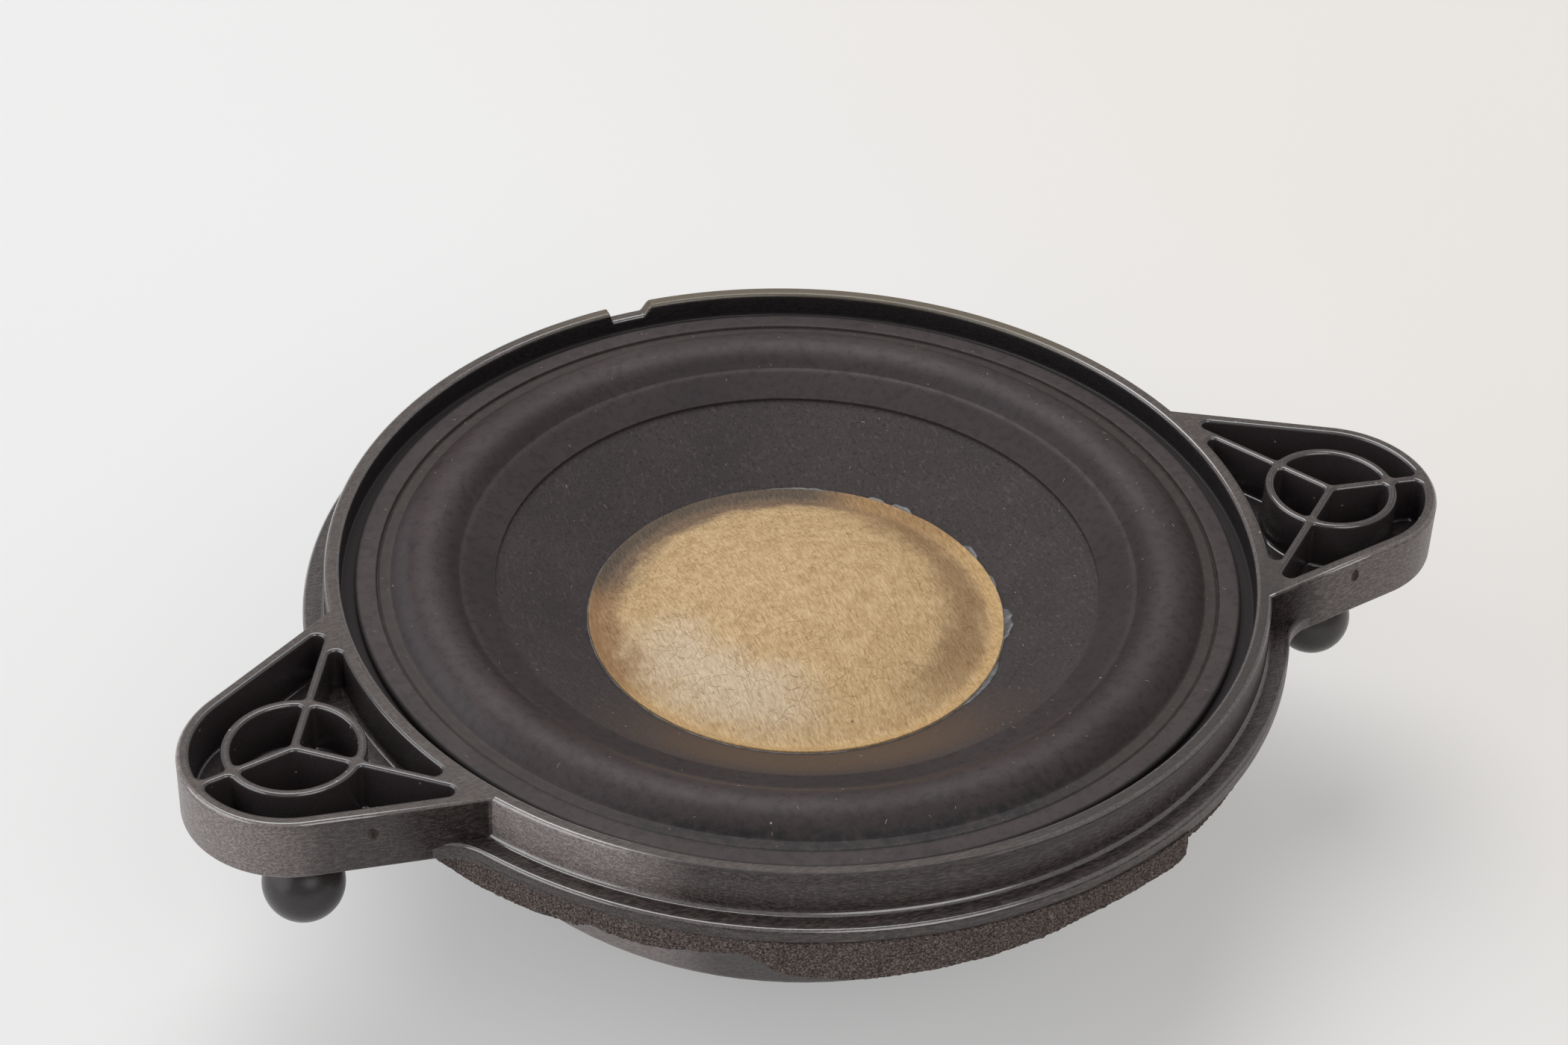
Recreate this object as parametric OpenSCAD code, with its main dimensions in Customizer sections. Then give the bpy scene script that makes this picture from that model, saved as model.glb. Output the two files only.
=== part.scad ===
// Dashboard speaker: a midrange driver in a moulded frame with two ribbed ears and ball studs.
// Millimetres. Z = 0 is the motor's rear face, on the cone's axis. X runs along the ears.
// +Y points at the notch in the rim.

/* [Rim and flange] */
// Outer radius of the raised rim
rim_outer_r = 50; // [48:0.5:53]
// Width of the rim's flat top
rim_wall = 1.7; // [1.3:0.1:2.2]
// Height of the rim above the flange
rim_height = 5; // [4.5:0.25:7]
// How far the flange stands out past the rim
flange_overhang = 2.4; // [1.5:0.1:4]
// Thickness of the flange
flange_t = 2; // [1.5:0.25:3]
// Rounding along the edges of the rim and the flange
edge_r = 0.4; // [0.2:0.1:0.6]
// Width of the locating notch at its bottom
notch_w = 3.7; // [3:0.1:6]
// How far the notch's middle stands towards -X
notch_shift = 0.55; // [0:0.05:1]
// Depth of the locating notch
notch_depth = 1.2; // [0.6:0.1:1.6]
// Run of the notch's steep shoulder, on the -X side
notch_steep_run = 0.45; // [0.2:0.05:1]
// Run of the notch's gentle shoulder, on the +X side
notch_gentle_run = 1.3; // [0.4:0.05:1.8]

/* [Basket] */
// Depth from the flange's seating face to the back of the basket's floor
basket_depth = 19.7; // [18:0.1:24]
// How far the basket's wall stands in from the rim's outer face, just under the flange
wall_inset = 3; // [2.5:0.25:4]
// How far the basket's wall draws in between the flange and the floor's back
wall_draw = 8.75; // [7:0.25:9.5]
// Thickness of the basket's wall
wall_t = 2.2; // [1.8:0.1:2.6]
// Rounding where the wall turns into the floor
corner_r = 3; // [1.5:0.5:4]
// Thickness of the basket's floor
floor_t = 2.2; // [1.6:0.1:3]
// Number of spokes in the floor
spoke_count = 6; // [4:2:8]
// Width of each spoke
spoke_w = 6; // [4:0.5:8]
// Thickness of the upright rib on each spoke
rib_t = 1.8; // [1.2:0.1:2.5]
// Height of the upright ribs above the floor
rib_h = 4.5; // [2:0.5:5.5]
// Width of the closed band of floor inside the outer wall
floor_band = 1.4; // [1:0.1:2.5]

/* [Ears] */
// Angle by which each ear leans from the X axis towards -Y, in degrees
ear_lean = 10.4; // [0:0.2:16]
// Distance from the rim's outer face to the middle of an ear
ear_offset = 9.7; // [8.5:0.1:14]
// Radius of the ear's round tip
ear_r = 11.5; // [10.5:0.1:13]
// Angle between an ear's straight side and its middle line, in degrees
ear_taper = 20; // [12:1:24]
// Thickness of the ear's outer wall
ear_wall = 1.35; // [1:0.05:1.8]
// Thickness of the ear's floor
ear_floor = 1.5; // [1.2:0.1:2.2]
// Outer radius of the ring in each ear
ring_r = 7.2; // [6.2:0.1:8]
// Thickness of the ring in each ear
ring_wall = 1; // [0.8:0.05:1.4]
// Thickness of the three webs in each ear
web_t = 0.95; // [0.8:0.05:1.4]
// Angle of the two inner webs from the outer one, in degrees
web_angle = 129.5; // [120:0.5:140]
// Radius of the boss under each ear
boss_r = 3.4; // [2.8:0.1:4.5]
// Length of the boss under each ear
boss_len = 5; // [3:0.25:6]

/* [Ball studs] */
// Radius of the ball
ball_r = 4.25; // [3.6:0.05:4.8]
// Distance from the ear's underside to the middle of the ball
ball_drop = 11.1; // [9:0.1:14]
// Radius of the stud's neck
neck_r = 2.4; // [1.8:0.1:2.8]
// Radius of the stud's collar
collar_r = 3.4; // [2.8:0.1:5]
// Thickness of the stud's collar
collar_t = 0.9; // [0.6:0.1:1.8]
// Radius of the stud's shank
shank_r = 1.6; // [1.3:0.05:1.9]
// Length of the shank inside the boss
shank_len = 4.5; // [2.5:0.25:5]

/* [Foam gasket] */
// Thickness of one layer of the foam strip
foam_t = 2.2; // [1.5:0.1:3]
// Width of the foam strip
foam_w = 4.3; // [3:0.1:5]
// Extra width that the lapped end of the strip bulges outwards
foam_bulge = 0.6; // [0:0.1:1]
// Angle at which the lapped end of the strip starts, in degrees
lap_start = -118; // [-130:1:-100]
// Angle that the lapped end of the strip covers, in degrees
lap_sweep = 56; // [30:1:70]
// How far the lapped layer sits outwards of the first one
lap_shift = 0.1; // [0.05:0.05:0.4]
// Thickness of the two layers together, in the middle of the lap
lap_t = 3.6; // [3.2:0.1:4.5]
// Lean of the lap's lower face, in degrees
lap_lean = 2.2; // [0:0.1:2.5]

/* [Surround] */
// Depth of the surround's flat band below the rim's top
surround_drop = 1.65; // [1:0.05:2]
// Gap between the surround's outer edge and the rim's inner wall
surround_gap = 1.95; // [1:0.05:2.4]
// Width of the surround's flat band
flat_w = 2.05; // [1.6:0.05:2.6]
// Thickness of the surround's flat band
flat_t = 1.2; // [0.8:0.1:1.6]
// Width of the half roll
roll_w = 8.4; // [7:0.1:9]
// Height of the half roll above its inner foot
roll_h = 1.85; // [1.4:0.05:2.4]
// Squareness of the half roll: 2 is a parabola, higher is flatter on top
roll_power = 2.2; // [2:0.1:3]
// Depth of the half roll's inner foot below the flat band
foot_drop = 0.11; // [0:0.01:0.3]
// Depth of the groove at the half roll's outer foot, below the flat band
groove_drop = 0.3; // [0.1:0.05:0.5]
// Run of the slope from the groove up to the flat band
groove_run = 0.4; // [0.2:0.05:0.8]
// Thickness of the rubber in the half roll
rubber_t = 0.6; // [0.4:0.05:0.8]
// Width of the surround's inner land, which is glued to the cone
land_w = 3.8; // [3:0.1:4.4]
// Thickness of the inner land
land_t = 0.25; // [0.2:0.05:0.4]
// Slope of the inner land, in degrees
land_angle = 21.8; // [18:0.2:26]

/* [Cone and dust cap] */
// Thickness of the cone
cone_t = 0.6; // [0.4:0.05:0.9]
// Height of the cone's neck above the spider's seat
neck_rise = 3.9; // [3.5:0.1:6]
// How far the cone's edge stops short of the half roll's inner foot
cone_edge = 0.9; // [0.4:0.1:1.4]
// Radius of the dust cap
cap_r = 22.35; // [20.5:0.05:24]
// Width of the dust cap's brim
brim_w = 1.4; // [1:0.1:2]
// Height of the dust cap's dome above its brim
dome_h = 4.8; // [3.5:0.1:5.5]
// Thickness of the dust cap
cap_t = 0.4; // [0.3:0.05:0.6]
// Width of the glue bead round the dust cap
bead_w = 0.9; // [0.5:0.1:1.4]
// Size of the glue fillet at the cone's neck
neck_bead = 1; // [0.5:0.1:1.5]

/* [Voice coil] */
// Inner radius of the voice coil's former
former_r = 12.4; // [12:0.05:12.8]
// Thickness of the former
former_t = 0.2; // [0.15:0.05:0.3]
// Thickness of the winding
winding_t = 0.7; // [0.5:0.05:0.9]
// Height of the winding
winding_h = 7; // [5:0.25:8]
// Travel of the cone each way
travel = 2.5; // [1.5:0.1:2.8]

/* [Motor] */
// Outer radius of the steel cup
cup_r = 17; // [16:0.25:18]
// Height of the steel cup
cup_h = 11.5; // [11:0.1:14]
// Thickness of the steel cup's floor
cup_floor = 3; // [2:0.1:3.2]
// Radius of the magnet
magnet_r = 11.4; // [9:0.1:11.6]
// Thickness of the plate on the magnet
plate_t = 3.5; // [2.5:0.1:4.5]
// Thickness of the lip that the steel cup stops against
lip_t = 1.2; // [0.8:0.1:2]
// Width of the lip that the steel cup stops against
lip_w = 1.6; // [1:0.1:2]
// Thickness of the basket's collar round the cup
seat_wall = 2; // [1.5:0.1:2.6]
// Length of the basket's collar below the floor's top
seat_len = 5.5; // [4:0.25:8]
// Size of the glue bead between the cup and the collar
cup_bead = 1.1; // [0.6:0.1:1.6]

/* [Spider] */
// Height of the spider's seat above the basket's floor
seat_h = 6.1; // [5.6:0.1:7]
// Inner radius of the spider's seat
seat_r = 26.4; // [25.5:0.1:27.5]
// Width of the spider's seat
seat_w = 3; // [2:0.1:3.4]
// Thickness of the spider
spider_t = 0.5; // [0.3:0.05:0.7]
// Height of the spider's waves, from the middle
wave_h = 0.6; // [0.3:0.1:0.9]
// Number of waves in the spider
wave_count = 4; // [3:1:5]
// Width of the flat band of the spider beside its collar, and inside its seat
spider_flat = 1.2; // [0.6:0.1:1.6]
// Height of the spider's collar on the former
collar_h = 1.1; // [0.6:0.1:1.4]

/* [Terminals] */
// Width of the terminal housing
housing_w = 14.6; // [12:0.2:16]
// Depth of the terminal housing, outwards from the basket
housing_d = 8; // [7:0.1:8.6]
// How far the terminal housing stands below the basket's floor
housing_drop = 0.8; // [0:0.1:1.5]
// Thickness of the terminal housing's walls
housing_wall = 1.5; // [1.2:0.1:1.7]
// Thickness of the basket's pocket round the housing
pocket_wall = 1.6; // [1.2:0.1:2.2]
// Depth of the pocket, inwards from the basket's wall just under the flange
pocket_depth = 9; // [8.5:0.1:9.5]
// Distance between the middles of the two blades
blade_pitch = 7; // [6.4:0.1:7.6]
// Width of each blade
blade_w = 2.8; // [2.2:0.1:3.2]
// Thickness of each blade
blade_t = 0.8; // [0.5:0.1:1]
// Depth that each blade's tip stands back from the socket's mouth
blade_recess = 2.5; // [1.5:0.25:4]
// Length of each blade's tail inside the basket
tail_len = 1.8; // [1:0.1:2.4]
// Width of each flat lead, which is bonded along the spider
lead_w = 1.6; // [1:0.1:2]
// Thickness of each flat lead
lead_t = 0.3; // [0.2:0.05:0.5]
// Thickness of the shelf that the leads lie on
shelf_t = 1.6; // [1:0.1:2.4]
// Margin of the shelf beside each lead
shelf_margin = 1; // [0.5:0.1:2]
// Size of the solder fillet between a blade's tail and its lead
solder = 0.7; // [0.4:0.1:0.8]

/* [Fits] */
// Gap left for glue between bonded faces
bond = 0.05; // [0.03:0.01:0.1]
// Gap between the flexing pieces and the moving ones they carry
flex_gap = 0.15; // [0.1:0.01:0.2]
// Radial clearance of the steel cup in its collar
cup_gap = 0.1; // [0.05:0.01:0.2]
// Radial clearance of the stud's shank in its boss
shank_gap = 0.03; // [0.02:0.01:0.08]
// Clearance of the terminal housing in its pocket
housing_gap = 0.15; // [0.1:0.01:0.3]
// Clearance round each blade
blade_gap = 0.05; // [0.03:0.01:0.15]
// Clearance between the moving coil and the steel on each side
air_gap = 0.45; // [0.4:0.01:0.6]
// Clearance between the foam strip and the basket's wall
foam_gap = 0.3; // [0.2:0.05:0.6]

/* [Hidden] */
$fn = 96;
// How far a cut runs past the faces that it opens
past = 1;

// Heights, from the motor's rear face upwards
floor_top = cup_h;
floor_z = floor_top - floor_t;
seat_z = floor_z + basket_depth;
flange_z = seat_z + flange_t;
rim_top = flange_z + rim_height;
flat_z = rim_top - surround_drop;
ledge_z = flat_z - flat_t;
foot_z = flat_z - foot_drop;
groove_z = flat_z - groove_drop;
spider_z = floor_top + seat_h;
shelf_z = spider_z + bond + spider_t;
lead_z = shelf_z + bond;
boss_z = seat_z - boss_len;

// The basket's outer wall: its radii, its lean from upright, and the turn into the floor
wall_top_r = rim_outer_r - wall_inset;
wall_bottom_r = wall_top_r - wall_draw;
wall_lean = atan2(wall_top_r - wall_bottom_r, seat_z - floor_z);
wall_turn = 90 - wall_lean;

// Radii, from the rim inwards
rim_inner_r = rim_outer_r - rim_wall;
flange_r = rim_outer_r + flange_overhang;
ear_reach = rim_outer_r + ear_offset;
surround_r = rim_inner_r - surround_gap;
groove_r = surround_r - flat_w;
foot_r = groove_r - roll_w;
lip_r = foot_r - land_w;
cone_r = foot_r - cone_edge;
opening_r = wall_top_r - wall_t;
seat_outer_r = seat_r + seat_w;
former_outer_r = former_r + former_t;
winding_r = former_outer_r + bond + winding_t;
plate_r = former_r - air_gap;
gap_r = winding_r + air_gap;
cup_bore_r = cup_r + cup_gap;
window_in_r = cup_bore_r + seat_wall + floor_band;
window_out_r = wall_bottom_r - corner_r*tan(wall_turn/2) - floor_band;

// The cone's front face is straight from the neck to the land, then lies along the land
neck_in_r = former_outer_r + bond;
land_stack = (land_t + flex_gap)/cos(land_angle);
lip_z = foot_z - land_w*tan(land_angle) - land_stack;
cone_angle = atan2(lip_z - spider_z - neck_rise, lip_r - neck_in_r);
function cone_z(r) = r > lip_r ? lip_z + (r - lip_r)*tan(land_angle) : lip_z - (lip_r - r)*tan(cone_angle);
function cone_back_z(r) = cone_z(r) - cone_t/cos(r > lip_r ? land_angle : cone_angle);

// The half roll's top face: a rounded arch over a straight line between its feet
roll_steps = 20;
roll_radii = [for (i = [0:roll_steps]) foot_r + roll_w*i/roll_steps];
function roll_base(r) = foot_z + (groove_z - foot_z)*(r - foot_r)/roll_w;
function roll_top(r) = roll_base(r) + roll_h*(1 - pow(abs(2*(r - foot_r)/roll_w - 1), roll_power));

// The dust cap: a brim that lies along the cone, then a spherical dome
dome_r = cap_r - brim_w;
dome_ball = (dome_r*dome_r + dome_h*dome_h)/(2*dome_h);
function brim_z(r) = cone_z(r) + (bond + cap_t)/cos(cone_angle);
function dome_z(r) = brim_z(dome_r) + dome_h - dome_ball + sqrt(dome_ball*dome_ball - r*r);

// The spider's middle line: flat at both ends, with whole waves between
spider_in_r = former_outer_r + flex_gap;
wave_in_r = spider_in_r + spider_t + spider_flat;
wave_out_r = seat_r - spider_flat;
wave_steps = wave_count*8;
spider_mid_z = spider_z + bond + spider_t/2;
wave_radii = [for (i = [0:wave_steps]) wave_in_r + (wave_out_r - wave_in_r)*i/wave_steps];
function wave_z(r) = spider_mid_z + wave_h*sin(360*wave_count*(r - wave_in_r)/(wave_out_r - wave_in_r));

// The terminals: a blade's tail lies on its lead, and the housing's roof closes over the tails
tail_z = lead_z + lead_t + bond;
housing_z = floor_z - housing_drop;
housing_top = tail_z + blade_t/2 + housing_wall;
socket_top = housing_top - 2*housing_wall;
pocket_half = housing_w/2 + housing_gap;
pocket_y = wall_top_r - pocket_depth;
pocket_top = housing_top + housing_gap;
pocket_in_y = pocket_y - pocket_wall;
blade_y = pocket_y + housing_d/2;
tail_end_y = pocket_in_y - tail_len;

// Points of an arc, used for the rounded edges of turned profiles
function arc_points(x, y, r, from, to, n = 6) =
    [for (i = [0:n]) let (a = from + (to - from)*i/n) [x + r*cos(a), y + r*sin(a)]];

module ring(r_in, r_out, h) {
    difference() {
        cylinder(r = r_out, h = h);
        translate([0, 0, -past]) cylinder(r = r_in, h = h + 2*past);
    }
}

// The right ear's middle line turned to its lean, or the same mirrored for the left ear
module place_ear(side) {
    mirror([side < 0 ? 1 : 0, 0, 0]) rotate(-ear_lean) children();
}

// An ear seen from above: a round tip, and straight sides that spread back to the rim
module ear_outline(r) {
    root_x = rim_inner_r*cos(ear_taper);
    root_y = (r + (ear_reach - root_x)*sin(ear_taper))/cos(ear_taper);
    tip_x = ear_reach + r*sin(ear_taper);
    tip_y = r*cos(ear_taper);
    translate([ear_reach, 0]) circle(r = r);
    polygon([[tip_x, tip_y], [root_x, root_y], [root_x, -root_y], [tip_x, -tip_y]]);
}

module ear_pockets() {
    difference() {
        ear_outline(ear_r - ear_wall);
        circle(r = rim_outer_r);
        translate([ear_reach, 0]) {
            difference() {
                circle(r = ring_r);
                circle(r = ring_r - ring_wall);
            }
            for (a = [0, web_angle, -web_angle]) rotate(a)
                translate([0, -web_t/2]) square([2*ear_r, web_t]);
        }
    }
}

module ear() {
    difference() {
        translate([0, 0, seat_z]) linear_extrude(rim_top - seat_z) ear_outline(ear_r);
        translate([0, 0, seat_z + ear_floor]) linear_extrude(rim_top - seat_z) ear_pockets();
        translate([0, 0, seat_z - past]) cylinder(r = rim_inner_r + rim_wall/2, h = rim_top);
    }
    translate([ear_reach, 0, boss_z]) cylinder(r = boss_r, h = boss_len + ear_floor/2);
}

// The outer face of the basket's turned body, from the floor up to the flange's underside
function wall_points() = concat(
    arc_points(wall_bottom_r - corner_r*tan(wall_turn/2), floor_z + corner_r, corner_r, -90, -wall_lean),
    [[wall_top_r, seat_z]]);

module basket_profile() {
    inner_bottom_r = wall_bottom_r + floor_t*tan(wall_lean) - wall_t;
    polygon(concat(
        [[cup_bore_r, floor_z]],
        wall_points(),
        arc_points(flange_r - edge_r, seat_z + edge_r, edge_r, -90, 0),
        arc_points(flange_r - edge_r, flange_z - edge_r, edge_r, 0, 90),
        arc_points(rim_outer_r + edge_r, flange_z + edge_r, edge_r, -90, -180),
        arc_points(rim_outer_r - edge_r, rim_top - edge_r, edge_r, 0, 90),
        arc_points(rim_inner_r + edge_r/2, rim_top - edge_r/2, edge_r/2, 90, 180),
        [[rim_inner_r, ledge_z], [opening_r, ledge_z], [opening_r, seat_z],
         [inner_bottom_r, floor_top], [cup_bore_r, floor_top]]));
}

// Openings in the floor: a ring of cuts that leaves the spokes and the spider's seat
module floor_windows() {
    cut_h = floor_t + 2*past;
    translate([0, 0, floor_z - past]) difference() {
        ring(window_in_r, window_out_r, cut_h);
        ring(seat_r, seat_outer_r, cut_h);
        for (i = [1:spoke_count]) rotate((i - 0.5)*360/spoke_count)
            translate([0, -spoke_w/2, 0]) cube([window_out_r + past, spoke_w, cut_h]);
    }
}

module spoke_ribs() {
    rib_len = wall_bottom_r - wall_t - seat_outer_r + seat_w/2;
    for (i = [1:spoke_count]) rotate((i - 0.5)*360/spoke_count)
        translate([seat_outer_r - seat_w/2, -rib_t/2, floor_z]) cube([rib_len, rib_t, floor_t + rib_h]);
}

// Shelf from the spider's seat to the terminal pocket, on a rib that stands on the floor
module lead_shelf() {
    half = blade_pitch/2 + lead_w/2 + shelf_margin;
    start_y = seat_outer_r - seat_w/2;
    difference() {
        union() {
            translate([-half, start_y, shelf_z - shelf_t]) cube([2*half, pocket_y - start_y, shelf_t]);
            translate([-rib_t/2, start_y, floor_z]) cube([rib_t, pocket_y - start_y, shelf_z - floor_z]);
        }
        // The spider's edge lies on its seat in front of the shelf
        translate([0, 0, spider_z]) cylinder(r = seat_outer_r, h = shelf_z);
    }
}

module terminal_pocket_walls() {
    half = pocket_half + pocket_wall;
    intersection() {
        translate([-half, pocket_in_y, floor_z])
            cube([2*half, wall_top_r - pocket_in_y, pocket_top + pocket_wall - floor_z]);
        rotate_extrude() polygon(concat([[0, floor_z]], wall_points(), [[0, seat_z]]));
    }
}

module notch_cut() {
    left = -notch_shift - notch_w/2;
    right = -notch_shift + notch_w/2;
    rise = 1 + past/notch_depth;
    translate([0, rim_outer_r + past, rim_top - notch_depth]) rotate([90, 0, 0])
        linear_extrude(rim_wall + 2*past) polygon([
            [left, 0], [right, 0], [right + notch_gentle_run*rise, notch_depth*rise],
            [left - notch_steep_run*rise, notch_depth*rise]]);
}

module basket() {
    color([0.13, 0.12, 0.12]) difference() {
        union() {
            difference() {
                rotate_extrude() basket_profile();
                floor_windows();
            }
            // Collar that holds the motor cup, with its stop lip
            translate([0, 0, floor_top - seat_len])
                cylinder(r = cup_bore_r + seat_wall, h = seat_len + lip_t);
            // Spider's seat
            translate([0, 0, floor_z]) ring(seat_r, seat_outer_r, spider_z - floor_z);
            spoke_ribs();
            lead_shelf();
            terminal_pocket_walls();
            for (side = [-1, 1]) place_ear(side) ear();
        }
        notch_cut();
        // Bore for the motor cup, and the smaller bore through the stop lip
        translate([0, 0, -past]) cylinder(r = cup_bore_r, h = cup_h + past);
        cylinder(r = cup_bore_r - lip_w, h = floor_top + lip_t + past);
        // Terminal pocket, open to the outside and to the rear
        translate([-pocket_half, pocket_y, floor_z - past])
            cube([2*pocket_half, wall_top_r - pocket_y, pocket_top - floor_z + past]);
        // Slots that the blades' tails and the ends of the leads pass through
        for (s = [-1, 1])
            translate([s*blade_pitch/2 - blade_w/2 - blade_gap, pocket_in_y - past, tail_z - blade_gap])
                cube([blade_w + 2*blade_gap, pocket_wall + 2*past, blade_t + 2*blade_gap]);
        // Blind holes for the studs' shanks
        for (side = [-1, 1]) place_ear(side) translate([ear_reach, 0, boss_z - past])
            cylinder(r = shank_r + shank_gap, h = shank_len + past + bond);
    }
}

module ball_stud(side) {
    color([0.1, 0.1, 0.1]) place_ear(side) translate([ear_reach, 0, 0]) {
        translate([0, 0, seat_z - ball_drop]) sphere(r = ball_r);
        translate([0, 0, seat_z - ball_drop]) cylinder(r = neck_r, h = ball_drop - boss_len);
        translate([0, 0, boss_z - collar_t]) cylinder(r = collar_r, h = collar_t);
        translate([0, 0, boss_z - collar_t]) cylinder(r = shank_r, h = collar_t + shank_len);
    }
}

module ball_stud_left() {
    ball_stud(-1);
}

module ball_stud_right() {
    ball_stud(1);
}

// One layer all round, and a lapped end whose lower face leans along the strip
module foam_gasket() {
    inner = wall_top_r + foam_gap;
    color([0.3, 0.28, 0.25]) {
        translate([0, 0, seat_z - foam_t]) ring(inner, inner + foam_w, foam_t);
        difference() {
            translate([0, 0, seat_z - 3*foam_t]) rotate([0, 0, lap_start]) rotate_extrude(angle = lap_sweep)
                translate([inner + lap_shift, 0]) square([foam_w + foam_bulge, 3*foam_t - lap_shift]);
            translate([0, 0, seat_z - lap_t]) rotate([0, -lap_lean, 0])
                translate([-flange_r - past, -flange_r - past, -4*foam_t])
                    cube([2*(flange_r + past), 2*(flange_r + past), 4*foam_t]);
        }
    }
}

module surround() {
    roll_t = rubber_t/cos(land_angle);
    land_drop = land_t/cos(land_angle);
    color([0.2, 0.19, 0.19]) rotate_extrude() polygon(concat(
        [[lip_r, foot_z - land_w*tan(land_angle)]],
        [for (r = roll_radii) [r, roll_top(r)]],
        [[groove_r + groove_run, flat_z], [surround_r, flat_z], [surround_r, ledge_z],
         [opening_r + flex_gap, ledge_z]],
        [for (i = [roll_steps:-1:1]) [roll_radii[i], roll_top(roll_radii[i]) - roll_t]],
        [[foot_r, foot_z - land_drop], [lip_r, foot_z - land_w*tan(land_angle) - land_drop]]));
}

module cone() {
    radii = [neck_in_r, lip_r, cone_r];
    color([0.17, 0.16, 0.16]) rotate_extrude() polygon(concat(
        [for (r = radii) [r, cone_z(r)]],
        [for (i = [2:-1:0]) [radii[i], cone_back_z(radii[i])]]));
}

module dust_cap() {
    steps = 14;
    drop = cap_t/cos(cone_angle);
    radii = [for (i = [0:steps]) dome_r*i/steps];
    color([0.66, 0.55, 0.4]) rotate_extrude() polygon(concat(
        [for (r = radii) [r, dome_z(r)]],
        [[cap_r, brim_z(cap_r)], [cap_r, brim_z(cap_r) - drop]],
        [for (i = [steps:-1:0]) [radii[i], dome_z(radii[i]) - drop]]));
}

// Glue bead on the cone, along the dust cap's edge
module dust_cap_glue() {
    in_r = cap_r + bond;
    out_r = in_r + bead_w;
    color([0.5, 0.5, 0.5]) translate([0, 0, bond]) rotate_extrude() polygon([
        [in_r, cone_z(in_r)], [out_r, cone_z(out_r)], [in_r, cone_z(in_r) + cap_t]]);
}

module voice_coil_former() {
    bottom = cup_floor + travel + air_gap;
    color([0.75, 0.62, 0.35]) translate([0, 0, bottom])
        ring(former_r, former_outer_r, cone_z(neck_in_r) + bond - bottom);
}

module voice_coil_winding() {
    middle = cup_h - plate_t/2;
    color([0.72, 0.45, 0.2]) translate([0, 0, middle - winding_h/2])
        ring(former_outer_r + bond, winding_r, winding_h);
}

// Glue fillet in the corner between the former and the cone's back
module neck_glue() {
    out_r = neck_in_r + neck_bead;
    color([0.25, 0.2, 0.15]) translate([0, 0, -bond]) rotate_extrude() polygon([
        [neck_in_r, cone_back_z(neck_in_r) - neck_bead], [out_r, cone_back_z(out_r)],
        [neck_in_r, cone_back_z(neck_in_r)]]);
}

module spider() {
    half = spider_t/2;
    out_r = seat_outer_r - bond;
    collar_r = spider_in_r + spider_t;
    collar_z = spider_mid_z + collar_h;
    color([0.72, 0.6, 0.32]) rotate_extrude() polygon(concat(
        [[spider_in_r, spider_mid_z - half], [spider_in_r, collar_z], [collar_r, collar_z],
         [collar_r, spider_mid_z + half]],
        [for (r = wave_radii) [r, wave_z(r) + half]],
        [[out_r, spider_mid_z + half], [out_r, spider_mid_z - half]],
        [for (i = [wave_steps:-1:0]) [wave_radii[i], wave_z(wave_radii[i]) - half]]));
}

module motor_cup() {
    color([0.5, 0.5, 0.52]) difference() {
        cylinder(r = cup_r, h = cup_h);
        translate([0, 0, cup_floor]) cylinder(r = gap_r, h = cup_h);
    }
}

module magnet() {
    color([0.7, 0.7, 0.72]) translate([0, 0, cup_floor])
        cylinder(r = magnet_r, h = cup_h - plate_t - cup_floor);
}

module pole_plate() {
    color([0.5, 0.5, 0.52]) translate([0, 0, cup_h - plate_t]) cylinder(r = plate_r, h = plate_t);
}

// Glue bead between the motor cup and the end of the basket's collar
module motor_glue() {
    top = floor_top - seat_len - bond;
    in_r = cup_r + bond;
    color([0.2, 0.15, 0.12]) rotate_extrude()
        polygon([[in_r, top - cup_bead], [in_r + cup_bead, top], [in_r, top]]);
}

module terminal_housing() {
    half = housing_w/2;
    socket_half = half - housing_wall;
    socket_d = housing_d - 2*housing_wall;
    slot_w = blade_w + 2*blade_gap;
    slot_t = blade_t + 2*blade_gap;
    color([0.12, 0.12, 0.12]) difference() {
        translate([-half, pocket_y, housing_z]) cube([housing_w, housing_d, housing_top - housing_z]);
        // Socket, open to the rear
        translate([-socket_half, pocket_y + housing_wall, housing_z - past])
            cube([2*socket_half, socket_d, socket_top - housing_z + past]);
        // Slots in the roof: each blade comes up out of the socket and turns towards the cone
        for (s = [-1, 1]) translate([s*blade_pitch/2 - slot_w/2, 0, 0]) {
            translate([0, blade_y - slot_t/2, socket_top - past])
                cube([slot_w, slot_t, tail_z + blade_t + blade_gap - socket_top + past]);
            translate([0, pocket_y - past, tail_z - blade_gap])
                cube([slot_w, blade_y + slot_t/2 - pocket_y + past, slot_t]);
        }
    }
}

module terminal_blade(s) {
    tip = housing_z + blade_recess;
    color([0.78, 0.7, 0.45]) translate([s*blade_pitch/2 - blade_w/2, 0, 0]) {
        translate([0, blade_y - blade_t/2, tip]) cube([blade_w, blade_t, tail_z + blade_t - tip]);
        translate([0, tail_end_y, tail_z]) cube([blade_w, blade_y + blade_t/2 - tail_end_y, blade_t]);
    }
}

module terminal_blade_left() {
    terminal_blade(-1);
}

module terminal_blade_right() {
    terminal_blade(1);
}

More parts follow.
